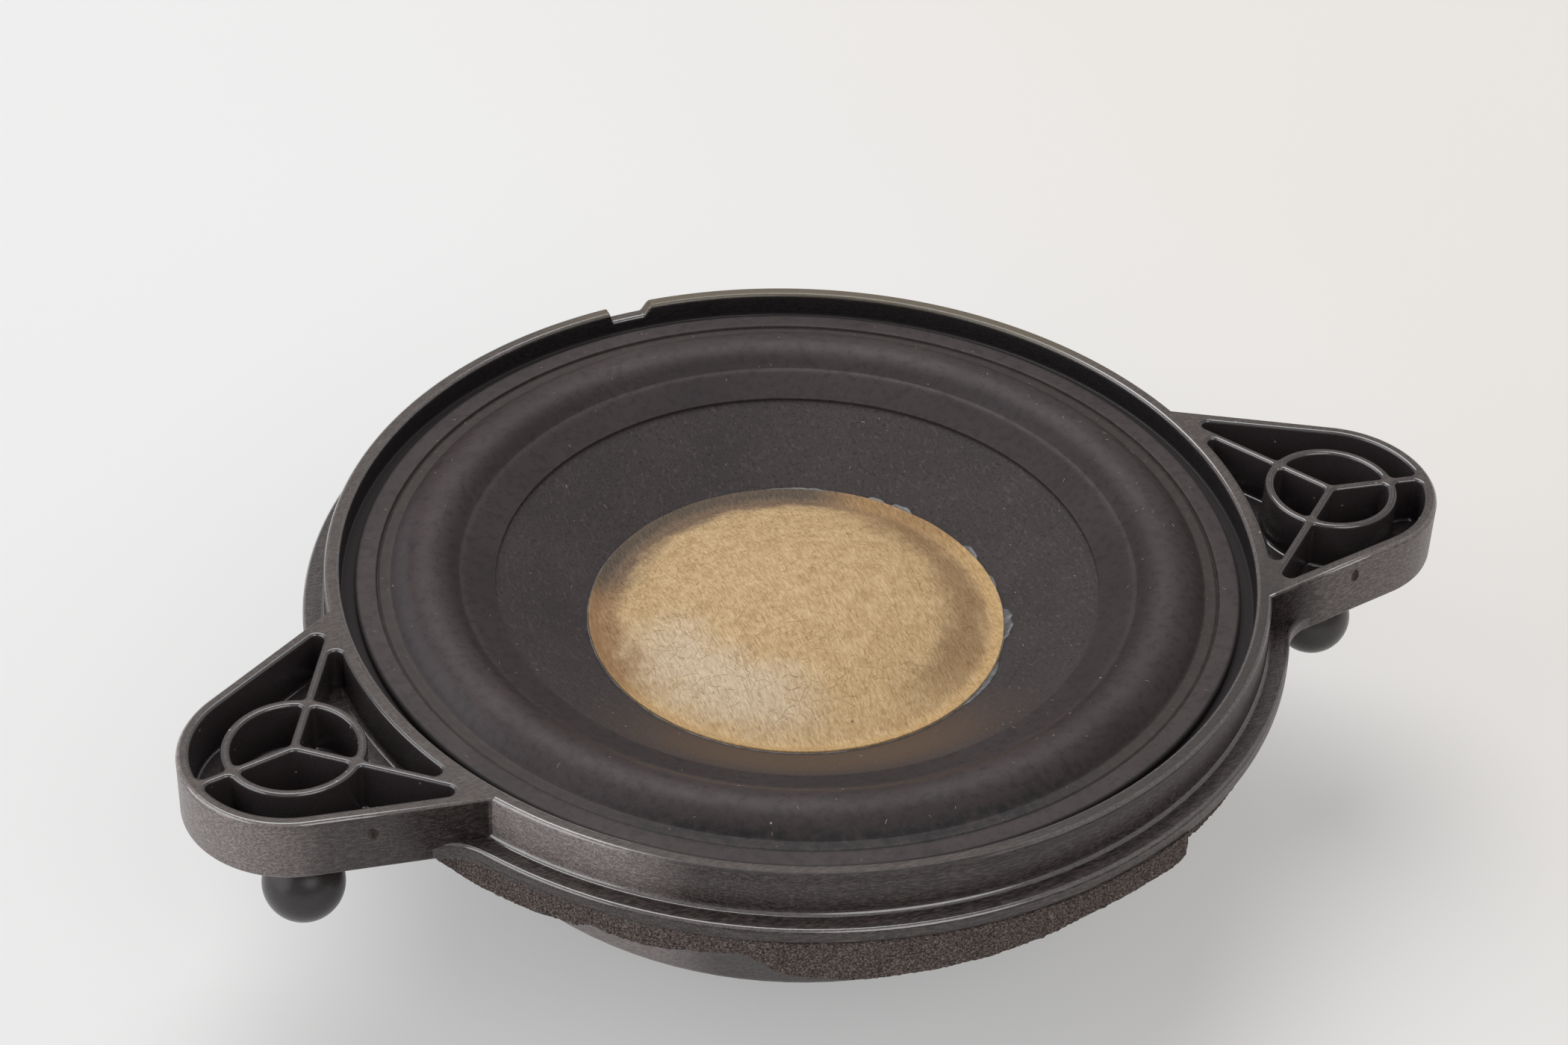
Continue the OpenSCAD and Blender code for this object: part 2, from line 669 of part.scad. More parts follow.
// A flat lead follows the spider's waves, then lies straight along the shelf under the blade's tail
module lead(s) {
    in_r = spider_in_r + spider_t + bond;
    lift = spider_t/2 + bond;
    radii = concat([in_r], wave_radii, [seat_outer_r]);
    function middle(r) = r < wave_in_r || r > wave_out_r ? spider_mid_z : wave_z(r);
    color([0.7, 0.62, 0.5]) translate([s*blade_pitch/2, 0, 0]) {
        intersection() {
            translate([-s*blade_pitch/2, 0, 0]) rotate_extrude() polygon(concat(
                [for (r = radii) [r, middle(r) + lift]],
                [for (i = [len(radii) - 1:-1:0]) [radii[i], middle(radii[i]) + lift + lead_t]]));
            translate([-lead_w/2, 0, spider_z - past]) cube([lead_w, seat_outer_r, seat_z - spider_z]);
        }
        translate([-lead_w/2, wave_out_r, lead_z]) cube([lead_w, pocket_in_y - bond - wave_out_r, lead_t]);
    }
}

module lead_left() {
    lead(-1);
}

module lead_right() {
    lead(1);
}

// Solder fillets at the ends of the blades' tails
module lead_solder() {
    color([0.75, 0.75, 0.78]) for (s = [-1, 1])
        translate([s*blade_pitch/2 - lead_w/2, tail_end_y - bond, lead_z + lead_t + bond])
            rotate([90, 0, 90]) linear_extrude(lead_w) polygon([[-solder, 0], [0, 0], [0, solder]]);
}

basket();
ball_stud_left();
ball_stud_right();
foam_gasket();
surround();
cone();
dust_cap();
dust_cap_glue();
voice_coil_former();
voice_coil_winding();
neck_glue();
spider();
motor_cup();
magnet();
pole_plate();
motor_glue();
terminal_housing();
terminal_blade_left();
terminal_blade_right();
lead_left();
lead_right();
lead_solder();
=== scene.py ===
"""Looks of a dashboard speaker: a midrange driver in a moulded plastic frame with two ribbed ears.

Lengths are in millimetres until they go into a mesh. Z runs up the cone's axis, X along the ears,
and +Y points at the notch in the rim. Angles round the axis are in degrees from +X.
"""

import math
import random
from math import asin, atan2, cos, hypot, pi, radians, sin, sqrt, tan

import bmesh
import bpy
from mathutils import Matrix, Vector, noise
from mathutils.geometry import tessellate_polygon
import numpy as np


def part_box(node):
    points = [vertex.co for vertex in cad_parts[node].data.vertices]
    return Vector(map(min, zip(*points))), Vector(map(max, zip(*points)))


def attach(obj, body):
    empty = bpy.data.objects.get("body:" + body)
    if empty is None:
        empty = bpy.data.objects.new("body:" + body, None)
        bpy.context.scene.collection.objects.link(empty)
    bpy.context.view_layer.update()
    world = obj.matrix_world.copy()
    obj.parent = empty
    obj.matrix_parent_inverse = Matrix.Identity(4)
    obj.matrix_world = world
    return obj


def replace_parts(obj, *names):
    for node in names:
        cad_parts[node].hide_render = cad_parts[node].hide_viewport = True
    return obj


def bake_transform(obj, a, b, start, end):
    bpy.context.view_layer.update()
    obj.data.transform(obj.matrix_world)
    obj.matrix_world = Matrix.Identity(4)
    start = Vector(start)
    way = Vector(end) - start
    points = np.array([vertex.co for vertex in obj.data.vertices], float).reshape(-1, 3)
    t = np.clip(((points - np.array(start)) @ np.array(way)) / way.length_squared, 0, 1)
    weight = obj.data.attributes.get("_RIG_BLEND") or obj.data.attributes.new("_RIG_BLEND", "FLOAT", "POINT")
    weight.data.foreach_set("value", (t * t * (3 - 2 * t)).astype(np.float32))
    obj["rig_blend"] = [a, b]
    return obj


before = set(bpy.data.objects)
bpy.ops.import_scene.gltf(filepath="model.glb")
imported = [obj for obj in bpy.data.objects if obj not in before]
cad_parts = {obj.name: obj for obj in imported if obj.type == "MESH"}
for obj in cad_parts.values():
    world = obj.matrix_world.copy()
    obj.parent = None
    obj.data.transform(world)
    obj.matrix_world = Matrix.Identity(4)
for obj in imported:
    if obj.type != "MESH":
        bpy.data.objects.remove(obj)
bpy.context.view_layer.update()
MM = 0.001
ON_AXIS = 1e-6


# Heights that the frame gives

def top_of(node):
    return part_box(node)[1].z / MM


RIM_TOP = top_of("basket")
FLANGE_TOP = RIM_TOP - 5
SEAT = RIM_TOP - 7
BOWL_TOP = SEAT - 1.05
LEDGE = RIM_TOP - 2.85
FLAT_TOP = RIM_TOP - 1.87
FOOT_Z = FLAT_TOP + 0.11
GROOVE_Z = FLAT_TOP - 0.15
SPIDER_MID = top_of("motor_cup") + 6.4
CAP_TOP = top_of("dust_cap")

# Radii and sizes of the basket
RIM_OUT = 50
RIM_IN = 48.3
FLANGE_OUT = 52.4
WALL_TOP = 47
WALL_LEAN = atan2(8.75, 19.7)
OPENING = 44.8
NOTCH_LEFT = -2.4
NOTCH_RIGHT = 1.3
NOTCH_STEEP = 0.45
NOTCH_GENTLE = 1.3
NOTCH_DEPTH = 1.2
EAR_REACH = 59.7
EAR_LEAN = radians(10.4)
EAR_R = 11.5
EAR_TAPER = radians(20)
EAR_TANGENT = pi / 2 - EAR_TAPER
EAR_WALL = 1.35
EAR_FLOOR = SEAT + 1.5
RING_OUT = 7.2
RING_IN = 6.2
RING_MIDDLE = (EAR_REACH, 0)
WEB_HALF = 0.475
WEB_ANGLE = radians(129.5)
WEB_WAY = Vector((cos(WEB_ANGLE), sin(WEB_ANGLE)))
RING_LEAN = asin(WEB_HALF / RING_OUT)
BOSS_R = 3.4
BOSS_Z = SEAT - 5
BALL_R = 4.25
BALL_Z = SEAT - 11.1
BALL_SWEEP = 145.6
STUD_NECK_R = 2.4

# Radii and sizes of the surround, cone and dust cap
SURROUND_OUT = 46.85
GROOVE_OUT = 44.6
GROOVE_R = 43.0
FOOT_R = 35.9
LIP_R = 32.1
CONE_EDGE = 35
NECK_R = 12.65
LAND_SLOPE = tan(radians(21.8))
LIP_Z = top_of("cone") - (CONE_EDGE - LIP_R) * LAND_SLOPE
CONE_SLOPE = (LIP_Z - SPIDER_MID - 3.6) / (LIP_R - NECK_R)
ROLL_RISE = 1.85
CAP_R = 22.35
CAP_DOME_R = 20.95
CAP_THICK = 0.44
BRIM_LIFT = 0.5


def cone_z(r):
    if r > LIP_R:
        return LIP_Z + (r - LIP_R) * LAND_SLOPE
    return LIP_Z - (LIP_R - r) * CONE_SLOPE


# Mesh building

def smooth_step(value):
    value = min(1, max(0, value))
    return value * value * (3 - 2 * value)


def wrapped(degrees):
    return (degrees + 180) % 360 - 180


def polar(radius, angle, z=0.0):
    return Vector((radius * cos(angle), radius * sin(angle), z))


def turned(vector, angle):
    return Vector((vector.x * cos(angle) - vector.y * sin(angle),
                   vector.x * sin(angle) + vector.y * cos(angle)))


def rounded(corners, closed=True):
    """Points and outward normals of a section; its corners (x, y, radius or none) run anticlockwise."""
    degrees_per_step = 12
    straight = 0.001
    spots = [Vector(corner[:2]) for corner in corners]
    last = len(corners) - 1
    result = []
    for i, here in enumerate(spots):
        radius = corners[i][2] if len(corners[i]) > 2 else 0
        before = here - spots[i - 1]
        after = spots[(i + 1) % len(spots)] - here
        if not closed and i == 0:
            before = after
        if not closed and i == last:
            after = before
        into = before.normalized()
        onward = after.normalized()
        turn = atan2(into.x * onward.y - into.y * onward.x, into.dot(onward))
        side = Vector((into.y, -into.x))
        if radius == 0 or abs(turn) < straight:
            result.append((here, turned(side, turn / 2)))
            continue
        bend = math.copysign(radius, turn)
        centre = here - into * radius * tan(abs(turn) / 2) - side * bend
        steps = max(3, math.ceil(abs(math.degrees(turn)) / degrees_per_step))
        for k in range(steps + 1):
            normal = turned(side, turn * k / steps)
            result.append((centre + normal * bend, normal))
    return result


def divided(section, longest, closed=True):
    """The same section with its long straight runs cut into shorter ones."""
    result = []
    count = len(section)
    for i, (spot, normal) in enumerate(section):
        result.append((spot, normal))
        if not closed and i == count - 1:
            break
        next_spot, next_normal = section[(i + 1) % count]
        parts = math.ceil((next_spot - spot).length / longest)
        for k in range(1, parts):
            share = k / parts
            result.append((spot.lerp(next_spot, share), normal.lerp(next_normal, share).normalized()))
    return result


def even_angles(count, start=0.0):
    return [start + 2 * pi * k / count for k in range(count)]


def turning(corners, longest, angles, closed=True, reshape=None):
    """Vertices, normals and faces of a section turned round Z, with one vertex where it meets Z.

    The angles are given one by one, or as the number of even ones.
    """
    if isinstance(angles, int):
        angles = even_angles(angles)
    section = divided(rounded(corners, closed), longest, closed)
    size = len(section)
    points = []
    normals = []
    index = {}
    for j, angle in enumerate(angles):
        for i, (spot, normal) in enumerate(section):
            if spot.x < ON_AXIS and (0, i) in index:
                index[j, i] = index[0, i]
                continue
            index[j, i] = len(points)
            place = polar(spot.x, angle, spot.y)
            facing = polar(normal.x, angle, normal.y)
            if reshape:
                place, facing = reshape(place, facing, angle)
            points.append(place)
            normals.append(facing.normalized())
    faces = []
    for j in range(len(angles)):
        k = (j + 1) % len(angles)
        for i in range(size if closed else size - 1):
            corners = [index[j, i], index[k, i], index[k, (i + 1) % size], index[j, (i + 1) % size]]
            corners = [corner for n, corner in enumerate(corners) if corner != corners[n - 1]]
            if len(corners) > 2:
                faces.append(corners)
    return points, normals, faces


def slab(outline, pockets, low, high, edge, crown):
    """Vertices, normals and faces of a plate with blind pockets, and the numbers of the pockets' faces."""
    points = []
    normals = []
    faces = []

    def ring(loop, offset, z, sideways, upward):
        first = len(points)
        for spot, normal in loop:
            moved = spot + normal * offset
            points.append(Vector((moved.x, moved.y, z)))
            facing = Vector((normal.x * sideways, normal.y * sideways, upward))
            normals.append(facing.normalized())
        return list(range(first, len(points)))

    def join(rings, outward):
        for lower, upper in zip(rings, rings[1:]):
            for i in range(len(lower)):
                k = (i + 1) % len(lower)
                face = [lower[i], lower[k], upper[k], upper[i]]
                faces.append(face if outward else face[::-1])

    quarter = [radians(22.5 * k) for k in range(5)]
    bends = [(sin(turn), cos(turn)) for turn in quarter]
    sides = [ring(outline, edge * (s - 1), low + edge * (1 - c), s, -c) for s, c in bends]
    sides += [ring(outline, crown * (c - 1), high - crown * (1 - s), c, s) for s, c in bends]
    join(sides, True)
    faces.append(sides[0][::-1])
    rims = [sides[-1]]
    first_inside = len(faces)
    for pocket in pockets:
        walls = [ring(pocket, edge * (s - 1), EAR_FLOOR + edge * (1 - c), -s, c) for s, c in bends]
        walls += [ring(pocket, edge * (1 - c), high - edge * (1 - s), -c, s) for s, c in bends]
        join(walls, False)
        faces.append(walls[0])
        rims.append(walls[-1])
    inside = range(first_inside, len(faces))
    flat = [index for rim in rims for index in rim]
    for triangle in tessellate_polygon([[points[i] for i in rim] for rim in rims]):
        a, b, c = (flat[i] for i in triangle)
        facing = (points[b] - points[a]).cross(points[c] - points[a])
        if facing.length > 1e-9:
            faces.append([a, b, c] if facing.z > 0 else [a, c, b])
    return (points, normals, faces), inside


def placed(name, data):
    thing = bpy.data.objects.new(name, data)
    bpy.context.scene.collection.objects.link(thing)
    return thing


def dressed(name, mesh, look, body):
    """A new object from a mesh, in one material, riding on a body if one is given."""
    mesh.materials.clear()
    mesh.materials.append(look)
    piece = placed(name, mesh)
    if body:
        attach(piece, body)
    return piece


def shape(name, built, look, body=None, own_normals=False):
    """A new object from built vertices, normals and faces."""
    points, normals, faces = built
    mesh = bpy.data.meshes.new(name)
    mesh.from_pydata([point * MM for point in points], [], faces)
    mesh.shade_smooth()
    if own_normals:
        mesh.normals_split_custom_set_from_vertices(normals)
    return dressed(name, mesh, look, body)


def mirrored(built):
    """The same shape mirrored in X."""
    points, normals, faces = built
    flip = Vector((-1, 1, 1))
    return [p * flip for p in points], [n * flip for n in normals], [face[::-1] for face in faces]


def grain(point, size, octaves=3):
    """Smooth noise between about -1 and 1, with features of the given size in millimetres."""
    return noise.fractal(point / size, 0.9, 2.0, octaves)


# Materials

def tint(red, green, blue):
    """Colour as a screen shows it, 0 to 255, made linear."""
    linear = []
    for value in (red, green, blue):
        share = value / 255
        linear.append(share / 12.92 if share <= 0.04045 else ((share + 0.055) / 1.055) ** 2.4)
    return (*linear, 1.0)


def as_colour(value):
    """A number as a grey, three numbers as a tint, and anything else as it is."""
    if isinstance(value, (int, float)):
        return (value, value, value, 1)
    if isinstance(value, tuple) and len(value) == 3:
        return tint(*value)
    return value


class Look:
    """A material with short calls for the nodes that it is made of, and the colour laid down so far."""

    def __init__(self, name):
        self.material = bpy.data.materials.new(name)
        self.material.use_nodes = True
        self.tree = self.material.node_tree
        self.shader = self.tree.nodes["Principled BSDF"]
        coordinates = self.node("ShaderNodeTexCoord")
        self.place = coordinates.outputs["Object"]
        self.facing = coordinates.outputs["Normal"]
        self.colour = None

    def node(self, kind, values=None, **settings):
        made = self.tree.nodes.new(kind)
        for key, value in settings.items():
            setattr(made, key, value)
        for key, value in (values or {}).items():
            self.put(made.inputs[key], value)
        return made

    def put(self, socket, value):
        if isinstance(value, bpy.types.NodeSocket):
            self.tree.links.new(value, socket)
        else:
            socket.default_value = value

    def stretched(self, scale, turn=0.0, at=None):
        """Coordinates turned round Z and scaled."""
        values = {"Vector": at or self.place, "Scale": scale, "Rotation": (0, 0, turn)}
        return self.node("ShaderNodeMapping", values).outputs[0]

    def noise(self, per_mm, detail=3, rough=0.55, at=None):
        values = {"Vector": at or self.place, "Scale": per_mm * 1000, "Detail": detail, "Roughness": rough}
        return self.node("ShaderNodeTexNoise", values).outputs["Fac"]

    def cells(self, per_mm):
        return self.node("ShaderNodeTexVoronoi", {"Vector": self.place, "Scale": per_mm * 1000}).outputs

    def ramp(self, value, *stops):
        made = self.node("ShaderNodeValToRGB", {"Fac": value})
        elements = made.color_ramp.elements
        while len(elements) < len(stops):
            elements.new(0.5)
        for element, (position, colour) in zip(elements, stops):
            element.position = position
            element.color = as_colour(colour)
        return made.outputs["Color"]

    def cloud(self, per_mm, detail=4, at=None):
        return self.ramp(self.noise(per_mm, detail, at=at), (0.3, 0.0), (0.7, 1.0))

    def mix(self, share, first, second, blend="MIX"):
        made = self.node("ShaderNodeMix", data_type="RGBA", blend_type=blend)
        self.put(made.inputs["Factor"], share)
        self.put(made.inputs[6], as_colour(first))
        self.put(made.inputs[7], as_colour(second))
        return made.outputs[2]

    def math(self, operation, first, second):
        made = self.node("ShaderNodeMath", operation=operation)
        self.put(made.inputs[0], first)
        self.put(made.inputs[1], second)
        return made.outputs[0]

    def times(self, first, *others):
        for other in others:
            first = self.math("MULTIPLY", first, other)
        return first

    def most(self, first, *others):
        for other in others:
            first = self.math("MAXIMUM", first, other)
        return first

    def rest(self, value):
        return self.math("SUBTRACT", 1, value)

    def stain(self, colour, *masks):
        """Lay a colour over the one so far, as far as all the masks let it through."""
        self.colour = self.mix(self.times(*masks), self.colour, colour)

    def span(self, value, low, high):
        """0 up to low, 1 from high, and a soft step between them."""
        values = {"Value": value, "From Min": low, "From Max": high}
        return self.node("ShaderNodeMapRange", values, interpolation_type="SMOOTHSTEP").outputs[0]

    def band(self, value, low, high, soft):
        """1 between two values, with a soft step at each."""
        rise = self.span(value, low - soft, low + soft)
        return self.times(rise, self.span(value, high + soft, high - soft))

    def axis(self, vector, name):
        return self.node("ShaderNodeSeparateXYZ", {"Vector": vector}).outputs[name]

    def height(self):
        return self.times(self.axis(self.place, "Z"), 1000)

    def radius(self):
        """Distance from the Z axis in millimetres."""
        flat = self.stretched((1000, 1000, 0))
        return self.node("ShaderNodeVectorMath", {0: flat}, operation="LENGTH").outputs["Value"]

    def side(self, degrees, low, high):
        """How far a point lies on one side: a span of the cosine between its direction and the given one."""
        flat = {0: self.stretched((1, 1, 0))}
        unit = self.node("ShaderNodeVectorMath", flat, operation="NORMALIZE").outputs[0]
        both = {0: unit, 1: polar(1, radians(degrees))}
        cosine = self.node("ShaderNodeVectorMath", both, operation="DOT_PRODUCT").outputs["Value"]
        return self.span(cosine, low, high)

    def unrolled(self, radius_mm):
        """Coordinates whose X runs round the Z axis, in metres at the given radius."""
        spin = self.math("ARCTAN2", self.axis(self.place, "Y"), self.axis(self.place, "X"))
        values = {"X": self.times(spin, radius_mm * MM), "Y": self.times(self.radius(), MM),
                  "Z": self.axis(self.place, "Z")}
        return self.node("ShaderNodeCombineXYZ", values).outputs[0]

    def specks(self, per_mm, share, size):
        """Separate dots: one in a share of cells, of a size given against the cell."""
        cell = self.cells(per_mm)
        dot = self.span(cell["Distance"], size, size * 0.5)
        return self.times(dot, self.span(self.axis(cell["Color"], "X"), 1 - share, 1 - share + 0.001))

    def bump(self, height, depth_mm, strength=1.0, under=None):
        values = {"Height": height, "Distance": depth_mm * MM, "Strength": strength}
        if under is not None:
            values["Normal"] = under
        return self.node("ShaderNodeBump", values).outputs[0]

    def finish(self, **values):
        values["base_color"] = self.colour
        for key, value in values.items():
            self.put(self.shader.inputs[key.replace("_", " ").title().replace("Ior", "IOR")], value)
        return self.material


def streaks(look, low=0.5, high=0.72):
    """Short fibre streaks: one set runs round the part, the others cross it."""
    ways = [look.stretched((0.15, 1, 1), at=look.unrolled(50))]
    ways += [look.stretched((0.16, 1, 1), turn) for turn in (0.35, 1.5)]
    return look.most(*(look.ramp(look.noise(5.2, 2, 0.6, way), (low, 0.0), (high, 1.0)) for way in ways))


def basket_plastic():
    """Black glass-filled plastic: matte brownish tops, streaked walls, burnished edges; painted light and
    shade in places.
    """
    look = Look("basket_plastic")
    up = look.axis(look.facing, "Z")
    height = look.height()
    radius = look.radius()
    fibres = streaks(look)
    cloud = look.noise(0.12, 3)
    top = look.times(look.span(up, 0.93, 0.985), look.span(height, RIM_TOP - 2.3, RIM_TOP - 2.1))
    edge = look.band(up, 0.55, 0.965, 0.03)
    in_height = look.times(look.span(height, SEAT - 0.8, SEAT - 0.5),
                           look.span(height, RIM_TOP - 0.15, RIM_TOP - 0.4))
    inner = look.times(in_height, look.span(radius, RIM_IN + 0.25, RIM_IN + 0.1))
    # Painted sheen: paler walls and more pale fibres where light falls on the left front of the rim, the left
    # ear's tip and the right ear
    on_rim = look.times(look.side(219, 0.955, 0.998), look.span(radius, RIM_OUT + 0.35, RIM_OUT + 0.15))
    on_tip = look.times(look.side(190, 0.975, 0.998), look.span(radius, 62, 66))
    on_right = look.times(look.side(-23, 0.88, 0.96), look.span(radius, 53, 57), 0.5)
    painted_sheen = look.most(on_rim, on_tip, on_right)
    plain = look.mix(painted_sheen, look.mix(cloud, (36, 31, 31), (45, 39, 39)), (101, 92, 92))
    strand = look.mix(painted_sheen, (126, 113, 109), (166, 155, 152))
    look.colour = look.mix(look.times(fibres, look.math("ADD", 0.42, look.times(painted_sheen, 0.5))), plain, strand)
    face = look.mix(cloud, (58, 51, 49), (69, 61, 59))
    look.stain(look.mix(look.times(fibres, 0.4), face, (128, 116, 109)), top)
    # Painted shade: the rim's inner wall darker than the same plastic outside
    look.stain(look.mix(look.times(fibres, 0.22), (32, 30, 32), (92, 85, 78)), inner)
    # Painted shade and light on the ledge and the foot of the inner wall: a flat grey without specular shine,
    # a little lighter than the painted wall above
    gap = look.times(inner, look.span(height, LEDGE + 0.5, LEDGE + 0.1))
    look.stain((62, 59, 60), gap)
    on_top = look.times(look.span(radius, 51.5, 51), look.span(height, RIM_TOP - 1.3, RIM_TOP - 1))
    # Painted reflection: an olive-brown haze on the top of the far rim
    behind = look.times(look.side(62, 0.66, 0.93), on_top, look.rest(inner))
    look.stain((112, 101, 80), behind, 0.6)
    # Painted shade: the rim's top darker on the right front
    look.stain((36, 31, 30), look.side(305, 0.72, 0.93), on_top, 0.62)
    # Painted shade: a darker band on the rim's top edge at the front
    ahead = look.times(look.side(250, 0.88, 0.97), on_top)
    look.stain((34, 29, 29), ahead, edge, 0.5)
    # Edges shine less, in their coat and in their painted highlight, at the far and near rim, deep inside it
    # and where the right ear begins
    sunk = look.times(inner, look.span(height, LEDGE + 1.1, LEDGE + 0.7))
    base = look.times(look.side(-24, 0.972, 0.988), look.span(radius, 58, 54), look.span(radius, 50.1, 50.4))
    hidden = look.times(look.most(sunk, base), 0.85)
    dull = look.most(look.times(behind, 0.8), look.times(ahead, 0.95), hidden)
    edge = look.times(edge, look.rest(dull))
    # Edges paler in colour: partly wear, partly a painted highlight
    wear_and_highlight = look.noise(2.2, 4, 0.6)
    look.stain((112, 104, 102), edge, look.ramp(wear_and_highlight, (0.35, 0.15), (0.7, 0.7)))
    rough = look.mix(top, look.ramp(look.noise(3, 3), (0.3, 0.3), (0.7, 0.46)), 0.56)
    rough = look.mix(inner, rough, 0.34)
    rough = look.mix(edge, rough, look.ramp(wear_and_highlight, (0.35, 0.1), (0.7, 0.2)))
    rough = look.mix(ahead, rough, 0.6)
    relief = look.bump(fibres, 0.012, 0.6, look.bump(look.noise(4.5, 4, 0.6), 0.018))
    shine = look.times(look.rest(gap), 0.5)
    return look.finish(roughness=rough, normal=relief, ior=1.5, specular_ior_level=shine, coat_weight=edge,
                       coat_ior=2.1, coat_roughness=0.1)


def pocket_plastic():
    """The same plastic inside the blind pockets, painted paler than outside to lift their shade: smooth and a
    little dusty.
    """
    look = Look("pocket_plastic")
    # Painted light: a paler colour than the same plastic outside, to lift the pockets' shade
    look.colour = look.mix(look.times(streaks(look, 0.6, 0.8), 0.2), (58, 51, 52), (106, 98, 97))
    look.stain((150, 148, 146), look.specks(0.8, 0.12, 0.16))
    rough = look.ramp(look.noise(1.6, 3), (0.3, 0.2), (0.7, 0.36))
    edge = look.band(look.axis(look.facing, "Z"), 0.5, 0.965, 0.03)
    return look.finish(roughness=rough, normal=look.bump(look.noise(2.6, 4, 0.6), 0.03), ior=1.5,
                       coat_weight=edge, coat_ior=1.9, coat_roughness=0.1)


def surround_rubber():
    """Moulded rubber with a dull bloom, fine mottling and scattered dust; painted shade and sheen in places.
    """
    look = Look("surround_rubber")
    radius = look.radius()
    painted_shade = (32, 30, 32)
    look.colour = look.mix(look.cloud(0.08), (58, 49, 50), (69, 59, 59))
    look.stain((36, 33, 34), look.ramp(look.noise(1.1, 4, 0.65), (0.36, 0.5), (0.52, 0.0)))
    look.stain((112, 106, 105), look.ramp(look.noise(4.5, 2, 0.7), (0.62, 0.0), (0.8, 0.3)))
    look.stain((176, 170, 160), look.specks(0.42, 0.07, 0.06))
    # Painted shade in the valley at the roll's inner foot and over the land inside it
    look.stain(painted_shade, look.band(radius, FOOT_R + 0.1, FOOT_R + 1.3, 0.8), 0.35)
    look.stain(painted_shade, look.band(radius, LIP_R, FOOT_R - 0.6, 0.4), 0.3)
    groove = look.band(radius, GROOVE_R, GROOVE_OUT - 0.1, 0.15)
    look.stain(look.mix(look.noise(1.4, 4, 0.65), (28, 26, 28), (74, 65, 59)), groove, 0.75)
    # Painted sheen: a bluish pale band on the roll's outer shoulder at the left
    shoulder = look.band(radius, GROOVE_R - 1.6, GROOVE_R, 0.7)
    look.stain((92, 91, 95), look.side(172, 0.8, 0.98), shoulder, 0.35)
    # Painted shade: the roll's outer flank darker on the front right
    flank = look.band(radius, 40.6, GROOVE_R + 0.2, 1.6)
    look.stain((32, 30, 31), look.side(285, 0.35, 0.75), flank, 0.25)
    # Painted shade: dark blotches in the groove and on the roll's outer flank at the front
    shade_blotches = look.ramp(look.noise(0.9, 4, 0.65), (0.42, 0.8), (0.6, 0.1))
    shade_blotch_band = look.band(radius, GROOVE_R - 0.7, GROOVE_OUT, 0.5)
    look.stain((24, 26, 28), look.side(255, 0.75, 0.95), shade_blotches, shade_blotch_band)
    look.stain((158, 140, 116), look.specks(1.5, 0.16, 0.1), groove)
    # Painted shade: the flat band darker next to the rim's inner wall
    rim_edge = look.span(radius, SURROUND_OUT - 0.5, SURROUND_OUT - 0.1)
    look.stain((32, 30, 31), rim_edge, 0.6)
    matte = look.most(rim_edge, look.span(radius, FOOT_R - 0.2, FOOT_R - 0.6))
    rough = look.mix(matte, look.ramp(look.noise(0.5, 4), (0.3, 0.42), (0.7, 0.54)), 0.74)
    relief = look.bump(look.noise(3.5, 4, 0.6), 0.02)
    return look.finish(roughness=rough, normal=relief, ior=1.5, specular_ior_level=0.3)


def cone_paper():
    """Dyed pulp: fine speckle, soft clouds and a painted reflection of the cap: a browner patch in front of
    it.
    """
    look = Look("cone_paper")
    look.colour = look.mix(look.cloud(0.1), (60, 54, 55), (68, 61, 61))
    fibre = look.noise(2.6, 3, 0.7, look.stretched((1, 0.35, 1), 0.6))
    look.stain((94, 86, 85), look.ramp(fibre, (0.54, 0.0), (0.72, 0.6)))
    look.stain((36, 32, 33), look.ramp(look.noise(3.0, 3, 0.7), (0.34, 0.75), (0.46, 0.0)))
    # Painted reflection of the cap: a browner patch on the cone in front of it
    look.stain((98, 78, 61), look.side(252, 0.55, 0.97), look.span(look.radius(), 33.5, 26), 0.7)
    look.stain((150, 144, 138), look.specks(0.9, 0.06, 0.09))
    return look.finish(roughness=0.82, normal=look.bump(look.noise(2.4, 5, 0.65), 0.05), ior=1.4)


